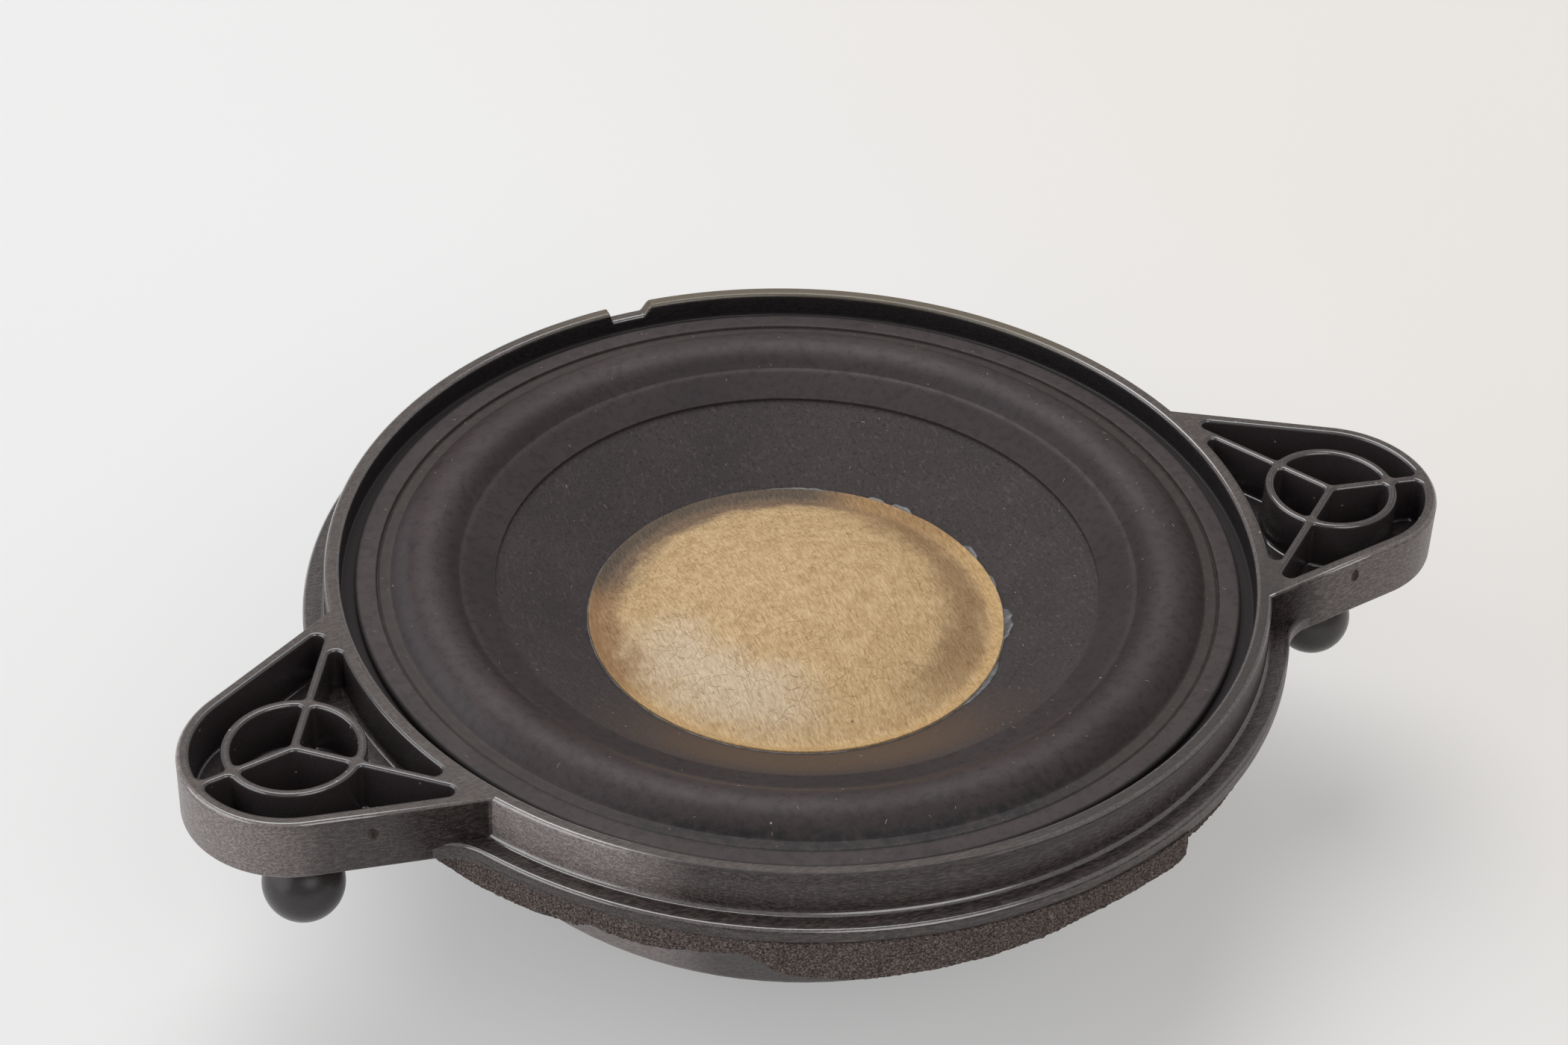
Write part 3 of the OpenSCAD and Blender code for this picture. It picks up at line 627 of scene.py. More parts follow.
def cap_felt():
    """Kraft felt: fine crossed fibres; a grey back edge and a brown right side, partly stain and partly
    painted shade; a painted sheen on the front left.
    """
    look = Look("cap_felt")
    fibres = 0.0
    for turn in (0.1, 0.75, 1.35, 2.0, 2.7):
        strand = look.noise(5.0, 3, 0.7, look.stretched((1, 0.2, 0.6), turn))
        fibres = look.math("ADD", fibres, strand)
    fibres = look.times(fibres, 0.2)
    light = look.ramp(fibres, (0.42, 0.0), (0.58, 1.0))

    def felt(dark, pale):
        return look.mix(light, dark, pale)

    radius = look.radius()
    drift = look.times(look.math("SUBTRACT", look.noise(0.35, 4, 0.6), 0.5), 5)
    rough_radius = look.math("ADD", radius, drift)
    cloud = look.ramp(look.noise(0.5, 6, 0.75), (0.34, 0.0), (0.66, 1.0))
    look.colour = felt((156, 125, 86), (202, 171, 127))
    look.stain(felt((182, 151, 110), (219, 192, 150)), cloud)
    thread = look.noise(3.4, 2, 0.5, look.stretched((1, 0.16, 0.6), 1.1))
    look.stain((222, 200, 164), look.ramp(thread, (0.56, 0.0), (0.7, 0.4)))
    # Painted sheen: a pale patch on the dome's front left
    painted_sheen_band = look.band(rough_radius, 12, 19.3, 2.5)
    look.stain(felt((188, 168, 144), (228, 214, 194)), look.side(212, 0.6, 0.99), painted_sheen_band, 0.6)
    # Partly stain, partly painted shade: the dome browner on the right
    brown_stain_and_shade = look.band(rough_radius, 16.2, 20.6, 1.8)
    look.stain(felt((108, 79, 52), (150, 118, 86)), look.side(-12, 0.3, 0.85), brown_stain_and_shade, 0.66)
    brim = look.span(radius, CAP_DOME_R - 0.5, CAP_DOME_R + 0.5)
    look.stain(felt((168, 132, 86), (208, 174, 124)), brim, 0.6)
    # Partly stain, partly painted shade: the brim browner at the back right
    behind = look.span(rough_radius, 17.5, 20)
    look.stain(felt((116, 86, 60), (152, 118, 86)), look.side(45, 0.75, 0.97), behind, 0.55)
    # Partly stain, partly painted shade: a reddish brown edge on the left
    reddish_stain_and_shade = look.span(rough_radius, 17.5, 21)
    look.stain(felt((112, 82, 58), (150, 114, 82)), look.side(160, 0.72, 0.94), reddish_stain_and_shade, 0.72)
    # Partly stain, partly painted shade: the back edge and brim grey-brown
    grey_stain_and_shade = look.span(rough_radius, 16.4, 19.6)
    grey = look.mix(brim, felt((94, 77, 65), (134, 112, 93)), felt((76, 68, 62), (108, 97, 88)))
    look.stain(grey, look.side(101, 0.55, 0.82), grey_stain_and_shade, 0.94)
    look.stain((96, 70, 48), look.specks(0.55, 0.05, 0.1), 0.8)
    relief = look.bump(look.noise(5, 3), 0.03, 0.6, look.bump(fibres, 0.05))
    return look.finish(roughness=0.9, normal=relief, ior=1.35)


def open_foam():
    """Fine grey-brown open-cell foam, a little dusty."""
    look = Look("foam")
    grains = look.noise(4.4, 3, 0.75)
    look.colour = look.ramp(grains, (0.36, (46, 39, 38)), (0.5, (90, 80, 77)), (0.66, (156, 143, 136)))
    look.stain((92, 83, 76), look.ramp(look.noise(0.5, 4), (0.35, 0.0), (0.7, 0.22)))
    relief = look.bump(look.cells(3.2)["Distance"], 0.12, 0.7, look.bump(grains, 0.3))
    return look.finish(roughness=0.95, normal=relief, ior=1.3)


def plain_look(name, colour, rough, metallic=0.0, per_mm=2.0, depth=0.01, variation=0.15, stretch=(1, 1, 1)):
    """A fine-grained surface of one colour, with slow and quick variation."""
    look = Look(name)
    place = look.stretched(stretch)
    dark = tuple(value * (1 - variation) for value in tint(*colour)[:3]) + (1,)
    pale = tuple(min(1, value * (1 + variation)) for value in tint(*colour)[:3]) + (1,)
    look.colour = look.mix(look.cloud(per_mm * 0.12, at=place), dark, pale)
    roughness = look.ramp(look.noise(per_mm, 4, at=place), (0.3, rough - 0.06), (0.7, rough + 0.06))
    relief = look.bump(look.noise(per_mm * 2, 4, at=place), depth)
    return look.finish(roughness=roughness, normal=relief, metallic=metallic)


def woven(name, dark, pale, turns, per_metre, distortion, depth, **values):
    """Threads that cross at the given turns."""
    look = Look(name)
    threads = 0.0
    for turn in turns:
        wave = {"Vector": look.stretched((1, 1, 1), turn), "Scale": per_metre, "Distortion": distortion}
        strand = look.node("ShaderNodeTexWave", wave, bands_direction="X").outputs["Fac"]
        threads = look.most(threads, strand)
    look.colour = look.mix(threads, dark, pale)
    return look.finish(normal=look.bump(threads, depth), **values)


def clear_glue():
    look = Look("clear_glue")
    cloud = look.ramp(look.noise(0.9, 3), (0.35, 0.0), (0.65, 1.0))
    look.colour = look.mix(cloud, (84, 82, 84), (128, 127, 130))
    return look.finish(roughness=0.34, transmission_weight=0.25, normal=look.bump(look.noise(1.6, 3), 0.05))


basket_look = basket_plastic()
pocket_look = pocket_plastic()
stud_look = plain_look("stud_plastic", (54, 49, 50), 0.28, per_mm=3, depth=0.012, variation=0.2)
rubber_look = surround_rubber()
cone_look = cone_paper()
cap_look = cap_felt()
foam_look = open_foam()
spider_look = woven("spider_cloth", (120, 88, 38), (196, 160, 88), (0, pi / 2), 420, 0.6, 0.12, roughness=0.7)
braid_look = woven("copper_braid", (120, 84, 62), (206, 158, 124), (0.5, -0.5), 900, 0.0, 0.06,
                   roughness=0.42, metallic=0.9)
glue_look = clear_glue()
dark_glue_look = plain_look("dark_glue", (66, 46, 34), 0.35, per_mm=1.2, depth=0.04)
film_look = plain_look("former_film", (176, 128, 62), 0.3, per_mm=1.0)
copper_look = plain_look("copper", (184, 112, 66), 0.3, 0.9, 4, 0.03, 0.2, (0.02, 0.02, 1))
steel_look = plain_look("plated_steel", (170, 170, 174), 0.34, 1.0, 1.5, 0.008)
magnet_look = plain_look("magnet_plating", (188, 188, 192), 0.24, 1.0, 1.5, 0.006)
brass_look = plain_look("tinned_brass", (206, 198, 176), 0.3, 1.0, 2, 0.006)
solder_look = plain_look("solder", (188, 190, 194), 0.28, 1.0, 1.6, 0.03)
burr_look = plain_look("gate_scar", (62, 52, 47), 0.75, per_mm=6, depth=0.12, variation=0.7)
pale_fibre_look = plain_look("pale_fibre", (206, 180, 138), 0.85, per_mm=1.5, variation=0.2)
brown_fibre_look = plain_look("brown_fibre", (166, 134, 95), 0.85, per_mm=1.5, variation=0.2)
dust_look = plain_look("dust", (178, 172, 164), 0.8, per_mm=1.5, variation=0.25)


# Basket: rim and flange

def basket_piece(name, built):
    return shape(name, built, basket_look, "frame", own_normals=True)


def notch_drop(x):
    """Depth of the notch at x, and how fast it changes."""
    def ramp(value, run):
        share = min(1, max(0, value / run))
        return smooth_step(share), 6 * share * (1 - share) / run
    left, left_rate = ramp(x - NOTCH_LEFT + NOTCH_STEEP, NOTCH_STEEP)
    right, right_rate = ramp(NOTCH_RIGHT + NOTCH_GENTLE - x, NOTCH_GENTLE)
    return NOTCH_DEPTH * left * right, NOTCH_DEPTH * (left_rate * right - left * right_rate)


def notched(place, facing, angle):
    if place.y < 0 or abs(place.x) > 6:
        return place, facing
    share = smooth_step((place.z - RIM_TOP + 2.6) / 1.6)
    drop, rate = notch_drop(place.x)
    return (Vector((place.x, place.y, place.z - drop * share)),
            Vector((facing.x + rate * share * facing.z, facing.y, facing.z)))


def rim_angles():
    """Coarse steps all round and fine ones near the notch."""
    coarse = [radians(0.9 * k) for k in range(400) if not 84 < 0.9 * k < 97]
    fine = [radians(84 + 0.1 * k) for k in range(131)]
    return sorted(coarse + fine)


rim_corners = [
    (OPENING, BOWL_TOP), (WALL_TOP - (SEAT - BOWL_TOP) * tan(WALL_LEAN), BOWL_TOP), (WALL_TOP, SEAT, 0.3),
    (FLANGE_OUT, SEAT, 0.35), (FLANGE_OUT, FLANGE_TOP, 0.5), (RIM_OUT, FLANGE_TOP, 0.6),
    (RIM_OUT, RIM_TOP, 0.6), (RIM_IN, RIM_TOP, 0.5), (RIM_IN, LEDGE, 0.2), (OPENING, LEDGE, 0.2)]
rim = basket_piece("basket_rim", turning(rim_corners, 1.2, rim_angles(), reshape=notched))


# Basket: ears, drawn along +X and then leaned

def arc(radius, start, end, steps, middle=(0, 0)):
    angles = [start + (end - start) * k / steps for k in range(steps + 1)]
    return [(middle[0] + radius * cos(angle), middle[1] + radius * sin(angle)) for angle in angles]


def ring_corner(radius, angle, rounding):
    """A rounded corner at a radius and an angle from the middle of an ear's ring."""
    return EAR_REACH + radius * cos(angle), radius * sin(angle), rounding


def last_length(near, holds):
    """The longest length, between near and 30, for which a test still holds."""
    far = 30.0
    for k in range(40):
        middle = (near + far) / 2
        if holds(middle):
            near = middle
        else:
            far = middle
    return near


def ear_outline():
    """The tip's arc, two straight sides and an arc under the rim."""
    inner_end = RIM_OUT - 1.25

    def side_point(along):
        return (EAR_REACH + EAR_R * cos(EAR_TANGENT) - along * cos(EAR_TAPER),
                EAR_R * sin(EAR_TANGENT) + along * sin(EAR_TAPER))

    base_x, base_y = side_point(last_length(0.0, lambda along: hypot(*side_point(along)) > inner_end))
    base_angle = atan2(base_y, base_x)
    tip = arc(EAR_R, -EAR_TANGENT, EAR_TANGENT, 48, RING_MIDDLE)
    return rounded(tip + arc(inner_end, base_angle, -base_angle, 24))


def ring_sector(start, end):
    """Pocket inside the ring, between the webs at two angles."""
    lean = asin(WEB_HALF / RING_IN)
    clear = 0.17
    corners = [ring_corner(WEB_HALF / sin((end - start) / 2), (start + end) / 2, 0.8),
               ring_corner(RING_IN, start + lean, 0.5)]
    corners += arc(RING_IN, start + lean + clear, end - lean - clear, 20, RING_MIDDLE)
    return rounded(corners + [ring_corner(RING_IN, end - lean, 0.5)])


def side_pocket():
    """Pocket between the ring, the outer web, an inner web and the ear's side."""
    inner = EAR_R - EAR_WALL
    tip_lean = asin(WEB_HALF / inner)
    last = WEB_ANGLE - RING_LEAN
    face = Vector((WEB_WAY.y, -WEB_WAY.x)) * WEB_HALF

    def inside(length):
        spot = face + WEB_WAY * length
        return spot.x * sin(EAR_TAPER) + spot.y * cos(EAR_TAPER) < inner

    far_end = face + WEB_WAY * last_length(8.0, inside)
    corners = [ring_corner(RING_OUT, RING_LEAN, 0.6), ring_corner(inner, tip_lean, 0.75)]
    corners += arc(inner, tip_lean + 0.1, EAR_TANGENT, 16, RING_MIDDLE)
    corners += [(EAR_REACH + far_end.x, far_end.y, 0.75), ring_corner(RING_OUT, last, 0.45)]
    corners += arc(RING_OUT, last - 0.1, RING_LEAN + 0.1, 24, RING_MIDDLE)
    return rounded(corners)


def base_pocket():
    """Pocket between the two inner webs, the ring and the rim."""
    wall = RIM_OUT + 0.02
    first = WEB_ANGLE + RING_LEAN
    face = Vector(RING_MIDDLE) + Vector((-WEB_WAY.y, WEB_WAY.x)) * WEB_HALF
    meets = face + WEB_WAY * last_length(2.0, lambda length: (face + WEB_WAY * length).length > wall)
    angle = atan2(meets.y, meets.x)
    corners = [ring_corner(RING_OUT, first, 0.45), (meets.x, meets.y, 0.7)]
    corners += arc(wall, angle - 0.035, -angle + 0.035, 20)
    corners += [(meets.x, -meets.y, 0.7), ring_corner(RING_OUT, -first, 0.45)]
    corners += arc(RING_OUT, 2 * pi - first - 0.1, first + 0.1, 20, RING_MIDDLE)
    return rounded(corners)


def corner_web():
    """Concave corner between an ear's side and the flange's edge, as seen from above."""
    bend = 6.0
    overlap = 0.8
    sunk = 0.04
    across = Vector((sin(EAR_TAPER), cos(EAR_TAPER)))
    along = Vector((-cos(EAR_TAPER), sin(EAR_TAPER)))
    reach = EAR_REACH * sin(EAR_TAPER) + EAR_R
    run = -sqrt((FLANGE_OUT + bend) ** 2 - (reach + bend) ** 2)
    middle = across * (reach + bend) + along * run
    on_side = middle - across * bend
    curve = arc(bend, atan2(-across.y, -across.x), atan2(-middle.y, -middle.x), 12, middle)
    on_rim = atan2(middle.y, middle.x)
    curve += arc(FLANGE_OUT - sunk, on_rim + 0.01, on_rim + 0.04, 3)
    rim_end = Vector(curve[-1])
    side_end = on_side - across * sunk - along * 2
    return rounded(curve + [rim_end * (1 - overlap / FLANGE_OUT), on_side - across * overlap + along * 3,
                            side_end - across * overlap, side_end])


def leaned(loop):
    return [(turned(spot, -EAR_LEAN), turned(normal, -EAR_LEAN)) for spot, normal in loop]


def flipped(loop):
    """The same loop mirrored in its middle line, still anticlockwise."""
    flip = Vector((1, -1))
    return [(spot * flip, normal * flip) for spot, normal in reversed(loop)]


pocket_loops = [ring_sector(0, WEB_ANGLE), ring_sector(WEB_ANGLE, 2 * pi - WEB_ANGLE),
                ring_sector(2 * pi - WEB_ANGLE, 2 * pi), side_pocket(), flipped(side_pocket()),
                base_pocket()]
right_ear, pocket_faces = slab(leaned(ear_outline()), [leaned(loop) for loop in pocket_loops],
                               low=SEAT + 0.01, high=RIM_TOP - 0.01, edge=0.4, crown=0.55)
ear_pieces = [basket_piece("basket_ear_right", right_ear),
              basket_piece("basket_ear_left", mirrored(right_ear))]
for piece in ear_pieces:
    piece.data.materials.append(pocket_look)
    for index in pocket_faces:
        piece.data.polygons[index].material_index = 1

for end, loop in (("back", corner_web()), ("front", flipped(corner_web()))):
    web = slab(leaned(loop), [], low=SEAT + 0.02, high=FLANGE_TOP - 0.005, edge=0.35, crown=0.5)[0]
    ear_pieces.append(basket_piece("basket_corner_right_" + end, web))
    ear_pieces.append(basket_piece("basket_corner_left_" + end, mirrored(web)))


def ear_post(side, corners):
    """A turned post on the axis of an ear's ring, from corners (radius, height, rounding)."""
    points, normals, faces = turning(corners, 0.5, 64, closed=False)
    middle = turned(Vector(RING_MIDDLE), -EAR_LEAN)
    return [point + Vector((side * middle.x, middle.y, 0)) for point in points], normals, faces


for side, name in ((-1, "left"), (1, "right")):
    boss = [(0, BOSS_Z), (BOSS_R, BOSS_Z, 0.25), (BOSS_R, SEAT + 0.4, 0.1), (0, SEAT + 0.4)]
    ear_pieces.append(basket_piece("basket_boss_" + name, ear_post(side, boss)))
    stud = arc(BALL_R, radians(-90), radians(BALL_SWEEP - 90), 40, (0, BALL_Z))
    stud += [(STUD_NECK_R, BALL_Z + 4.3), (STUD_NECK_R, BOSS_Z - 0.9, 0.2), (BOSS_R, BOSS_Z - 0.9, 0.2),
             (BOSS_R, BOSS_Z, 0.15), (0, BOSS_Z)]
    stud_piece = shape("ball_stud_shape_" + name, ear_post(side, stud), stud_look, "frame",
                       own_normals=True)
    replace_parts(stud_piece, "ball_stud_" + name)


def gate_scar(place, facing_degrees):
    """A broken-off moulding gate: a low rough lump on an upright wall."""
    half_width = 0.5
    half_height = 0.82
    proud = 0.22
    bands = 12
    turns = 28
    out = polar(1, radians(facing_degrees))
    aside = Vector((-out.y, out.x, 0))
    points = [Vector(place) + out * proud]
    for j in range(1, bands + 1):
        share = j / bands
        for i in range(turns):
            t = 2 * pi * i / turns
            lump = share * (1 + 0.45 * noise.noise(polar(2.4, t, share + place[0])))
            rough = 0.75 + 0.8 * noise.noise(Vector((9 * share, 5 * t, place[0])))
            rise = proud * (1 - share ** 3) * rough if j < bands else -0.1
            up = Vector((0, 0, half_height * lump * sin(t)))
            points.append(Vector(place) + aside * (half_width * lump * cos(t)) + up + out * rise)
    faces = []
    for i in range(turns):
        k = (i + 1) % turns
        faces.append([0, 1 + i, 1 + k])
        for a in range(1, 1 + (bands - 1) * turns, turns):
            faces.append([a + i, a + turns + i, a + turns + k, a + k])
    return points, [], faces


for name, place, degrees in (("left", (-54.68, -23.12, 33.5), 260.4), ("right", (54.7, -23.12, 33.9), 279.6)):
    shape("gate_scar_" + name, gate_scar(place, degrees), burr_look, "frame")


# Basket: bowl, from the frame's own surface below the foam

def bowl():
    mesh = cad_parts["basket"].data.copy()
    cut = bmesh.new()
    cut.from_mesh(mesh)
    everything = list(cut.verts) + list(cut.edges) + list(cut.faces)
    bmesh.ops.bisect_plane(cut, geom=everything, plane_co=(0, 0, BOWL_TOP * MM), plane_no=(0, 0, 1),
                           clear_outer=True)
    ear_parts = [face for face in cut.faces if face.calc_center_median().xy.length > (WALL_TOP + 0.5) * MM]
    bmesh.ops.delete(cut, geom=ear_parts, context="FACES")
    cut.to_mesh(mesh)
    cut.free()
    return dressed("basket_bowl", mesh, basket_look, "frame")


for piece in [rim, bowl()] + ear_pieces:
    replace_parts(piece, "basket")


# Surround: held by the rim outside and by the cone inside

def roll_top(r):
    across = (r - FOOT_R) / (GROOVE_R - FOOT_R)
    return FOOT_Z + (GROOVE_Z - FOOT_Z) * across + ROLL_RISE * (1 - abs(2 * across - 1) ** 2.2)


def land_z(r):
    return FOOT_Z - (FOOT_R - r) * LAND_SLOPE


def surround_corners():
    radii = [FOOT_R + (GROOVE_R - FOOT_R) * k / 44 for k in range(45)]
    channel = GROOVE_Z - 0.05
    return [
        (LIP_R, land_z(LIP_R) - 0.25, 0.06), (FOOT_R, FOOT_Z - 0.27, 0.3),
        *((r, roll_top(r) - 0.65) for r in radii[1:]),
        (OPENING + 0.15, LEDGE + 0.01), (SURROUND_OUT, LEDGE + 0.01, 0.1), (SURROUND_OUT, FLAT_TOP, 0.35),
        (GROOVE_OUT, FLAT_TOP, 0.15), (GROOVE_OUT - 0.12, GROOVE_Z - 0.2, 0.05),
        (GROOVE_OUT - 0.4, channel, 0.1), (GROOVE_R + 0.15, channel, 0.1), (GROOVE_R, GROOVE_Z),
        *((r, roll_top(r)) for r in reversed(radii[1:-1])),
        (FOOT_R, FOOT_Z, 0.3), (LIP_R, land_z(LIP_R), 0.08)]


def blend_by_radius(piece, outer, inner):
    """A piece between the frame at its outer radius and the cone at its inner one."""
    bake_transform(piece, "frame", "cone", start=(outer * MM, 0, 0), end=(inner * MM, 0, 0))
    weights = piece.data.attributes["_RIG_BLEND"].data
    for vertex in piece.data.vertices:
        radius = vertex.co.xy.length / MM
        weights[vertex.index].value = smooth_step((outer - radius) / (outer - inner))


surround = shape("surround_roll", turning(surround_corners(), 0.4, 400), rubber_look)
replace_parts(surround, "surround")
blend_by_radius(surround, GROOVE_R, FOOT_R)


# Cone, dust cap and the fibres and dust on them

def papery(place, facing, angle):
    return place + facing * 0.012 * grain(place, 0.9), facing


NECK_Z = cone_z(NECK_R)
EDGE_Z = cone_z(CONE_EDGE)

cone_corners = [(NECK_R, NECK_Z - 0.68), (LIP_R, LIP_Z - 0.67, 0.5), (CONE_EDGE, EDGE_Z - 0.65, 0.1),
                (CONE_EDGE, EDGE_Z, 0.1), (LIP_R, LIP_Z, 0.5), (NECK_R, NECK_Z, 0.1)]
cone = shape("cone_shape", turning(cone_corners, 0.3, 480, reshape=papery), cone_look, "cone")
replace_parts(cone, "cone")

BRIM_Z = cone_z(CAP_DOME_R) + BRIM_LIFT
DOME_HEIGHT = CAP_TOP - BRIM_Z
DOME_BALL = (CAP_DOME_R ** 2 + DOME_HEIGHT ** 2) / (2 * DOME_HEIGHT)


def dome_z(r):
    return CAP_TOP - DOME_BALL + sqrt(DOME_BALL ** 2 - r ** 2)


def cap_corners():
    edge_z = cone_z(CAP_R) + BRIM_LIFT
    radii = [CAP_DOME_R * k / 60 for k in range(1, 59)]
    return [
        (0, CAP_TOP - CAP_THICK), *((r, dome_z(r) - CAP_THICK) for r in radii),
        (CAP_DOME_R, BRIM_Z - CAP_THICK, 0.5), (CAP_R, edge_z - CAP_THICK, 0.1), (CAP_R, edge_z, 0.15),
        (CAP_DOME_R, BRIM_Z, 1.1), *((r, dome_z(r)) for r in reversed(radii)), (0, CAP_TOP)]


def felted(place, facing, angle):
    lumps = 0.05 * grain(place, 5, 2) + 0.018 * grain(place, 0.7, 3)
    return place + facing * (lumps - 0.02), facing


cap = shape("dust_cap_shape", turning(cap_corners(), 0.3, 480, closed=False, reshape=felted), cap_look,
            "cone")
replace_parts(cap, "dust_cap")


def cap_surface(x, y):
    """Height of the dust cap's lumpy dome."""
    return felted(Vector((x, y, dome_z(hypot(x, y)))), Vector((0, 0, 1)), 0)[0].z


def cone_surface(x, y):
    return cone_z(hypot(x, y))


def surround_surface(x, y):
    r = hypot(x, y)
    if r < FOOT_R:
        return land_z(r)
    if r < GROOVE_R:
        return roll_top(r)
    return GROOVE_Z - 0.05 if r < GROOVE_OUT else FLAT_TOP


def strands(count, seed, inner, outer, surface, lengths, thickness):
    """Short bent fibres that lie on a surface, at random places between two radii."""
    chance = random.Random(seed)
    points = []
    faces = []
    parts = 5
    for n in range(count):
        direction = chance.uniform(0, 2 * pi)
        r = sqrt(chance.uniform(inner ** 2, outer ** 2))
        x = r * cos(direction)
        y = r * sin(direction)
        heading = chance.uniform(0, 2 * pi)
        bend = chance.uniform(-0.35, 0.35)
        step = chance.uniform(*lengths) / parts
        half = thickness * chance.uniform(0.6, 1.2) / 2
        first = len(points)
        for k in range(parts + 1):
            side = Vector((-sin(heading), cos(heading), 0)) * half
            middle = Vector((x, y, surface(x, y) + half * 0.4))
            points += [middle - side, middle + side, middle + Vector((0, 0, half * 1.4))]
            x += step * cos(heading)
            y += step * sin(heading)
            heading += bend
        for k in range(parts):
            for i in range(3):
                a = first + 3 * k + i
                b = first + 3 * k + (i + 1) % 3
                faces.append([a, b, b + 3, a + 3])
        faces.append([first + 2, first + 1, first])
        faces.append([first + 3 * parts + i for i in range(3)])
    return points, [], faces


FELT_R = 18.4

pale_fibres = strands(900, 11, 0, FELT_R, cap_surface, (0.6, 2.2), 0.042)
brown_fibres = strands(160, 12, 0, FELT_R, cap_surface, (0.3, 1.2), 0.036)
cone_specks = strands(36, 13, 23.6, 31.5, cone_surface, (0.1, 0.5), 0.06)
rubber_specks = strands(110, 14, LIP_R + 0.5, SURROUND_OUT - 0.5, surround_surface, (0.1, 0.5), 0.05)
shape("cap_fibres_pale", pale_fibres, pale_fibre_look, "cone")
shape("cap_fibres_brown", brown_fibres, brown_fibre_look, "cone")
shape("cone_dust", cone_specks, dust_look, "cone")
dust = shape("surround_dust", rubber_specks, dust_look)
blend_by_radius(dust, GROOVE_R, FOOT_R)


# Glue round the dust cap

# Smears: middle in degrees, half their spread in degrees, and how far they run outwards
GLUE_SMEARS = [(64, 15, 0.3), (43, 3, 0.45), (35, 3.5, 0.6), (8, 3.5, 0.55), (-6, 3, 0.35), (-25, 6.5, 0.95),
               (-52, 11, 0.6), (-130, 24, 0.15), (170, 16, 0.12)]


def glue_width(angle):
    width = 0.1 + 0.08 * noise.noise(polar(5, angle))
    for middle, spread, reach in GLUE_SMEARS:
        off = wrapped(math.degrees(angle) - middle) / spread
        if abs(off) < 1:
            rough = 1 + 0.35 * noise.noise(polar(30, angle, 3))
            width = max(width, reach * rough * sqrt(1 - off * off))
    return max(0.04, width)


def glue_shape(place, facing, angle):
    """The section is drawn one unit wide and high; each angle sets its real width and height."""
    width = glue_width(angle)
    reach = CAP_R - 0.1 + place.xy.length * (0.12 + width)
    height = 0.13 + 0.16 * min(1, width)
    return polar(reach, angle, cone_z(reach) + place.z * height), facing


glue_corners = [(0.001, -0.15), (1, -0.15), (1, 0.1), (0.96, 0.35), (0.85, 0.62), (0.65, 0.86), (0.4, 1.0),
                (0.001, 1.1)]
glue = shape("glue_bead", turning(glue_corners, 2, 900, reshape=glue_shape), glue_look, "cone")
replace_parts(glue, "dust_cap_glue")


# Foam strip under the flange, with its lapped end at the front

def wandering(values):
    """Smooth value between listed pairs (angle in degrees, value), for any angle in radians."""
    def at(angle):
        degrees = wrapped(math.degrees(angle))
        for (first, low), (second, high) in zip(values, values[1:]):
            if first <= degrees <= second:
                return low + (high - low) * smooth_step((degrees - first) / (second - first))
        return values[-1][1]
    return at


foam_edge = wandering([
    (-180, 26.5), (-152, 25.9), (-145, 26.1), (-138, 26.5), (-135.4, 27.2), (-133.6, 26.75), (-129, 26.5),
    (-124, 27), (-119.3, 27.5), (-117.3, 26.5), (-115.2, 25.2), (-112.5, 24.65), (-107, 24.2), (-101, 24.35),
    (-93, 24.7), (-87, 25.1), (-80, 25.8), (-72, 25.8), (-68, 25.6), (-64.9, 26), (-64.5, 27.1), (-50, 26.8),
    (180, 26.5)])
foam_face = wandering([(-180, 52.45), (-119, 52.5), (-114, 52.6), (-66, 52.65), (-64.4, 51.9), (-50, 51.6),
                       (160, 51.6), (170, 52.3), (180, 52.45)])
foam_lip = wandering([(-180, 0.4), (-150, 0.7), (-118, 0.5), (-66, 0.35), (-64, -0.06), (165, -0.06),
                      (180, 0.4)])


def foam_cells(place, facing, angle):
    """The section is drawn one unit wide and high; each angle sets its real width and height."""
    inner = WALL_TOP + 0.35
    bottom = foam_edge(angle)
    top = SEAT + foam_lip(angle) + 0.12 * noise.noise(polar(40, angle, 7))
    reach = inner + place.xy.length * (foam_face(angle) - inner)
    base = polar(reach, angle, bottom + place.z * (top - bottom))
    if place.z > 0.99:
        return base, facing
    pits = noise.noise(base / 0.36) * 0.12 + noise.noise(base / 0.19) * 0.08
    sag = 0.05 * noise.noise(base / 2.2)
    return base + facing * (pits + sag - 0.1), facing


foam_corners = [(0.001, 0), (1, 0, 0.12), (1, 1, 0.03), (0.001, 1)]
foam_angles = sorted(even_angles(1500, -pi) + [radians(-65.2 + 0.06 * k) for k in range(14)])
foam = shape("foam_strip", turning(foam_corners, 0.045, foam_angles, reshape=foam_cells), foam_look,
             "frame")
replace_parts(foam, "foam_gasket")


# Spider and the flat leads bonded to it

SPIDER_IN = 12.75
SPIDER_OUT = 29.35
SPIDER_HALF = 0.25
WAVE_IN = 14.45
WAVE_OUT = 25.2
WAVE_HEIGHT = 0.6
COLLAR_TOP = SPIDER_MID + 1.1


def spider_height(r):
    if r < WAVE_IN or r > WAVE_OUT:
        return SPIDER_MID
    return SPIDER_MID + WAVE_HEIGHT * sin(8 * pi * (r - WAVE_IN) / (WAVE_OUT - WAVE_IN))


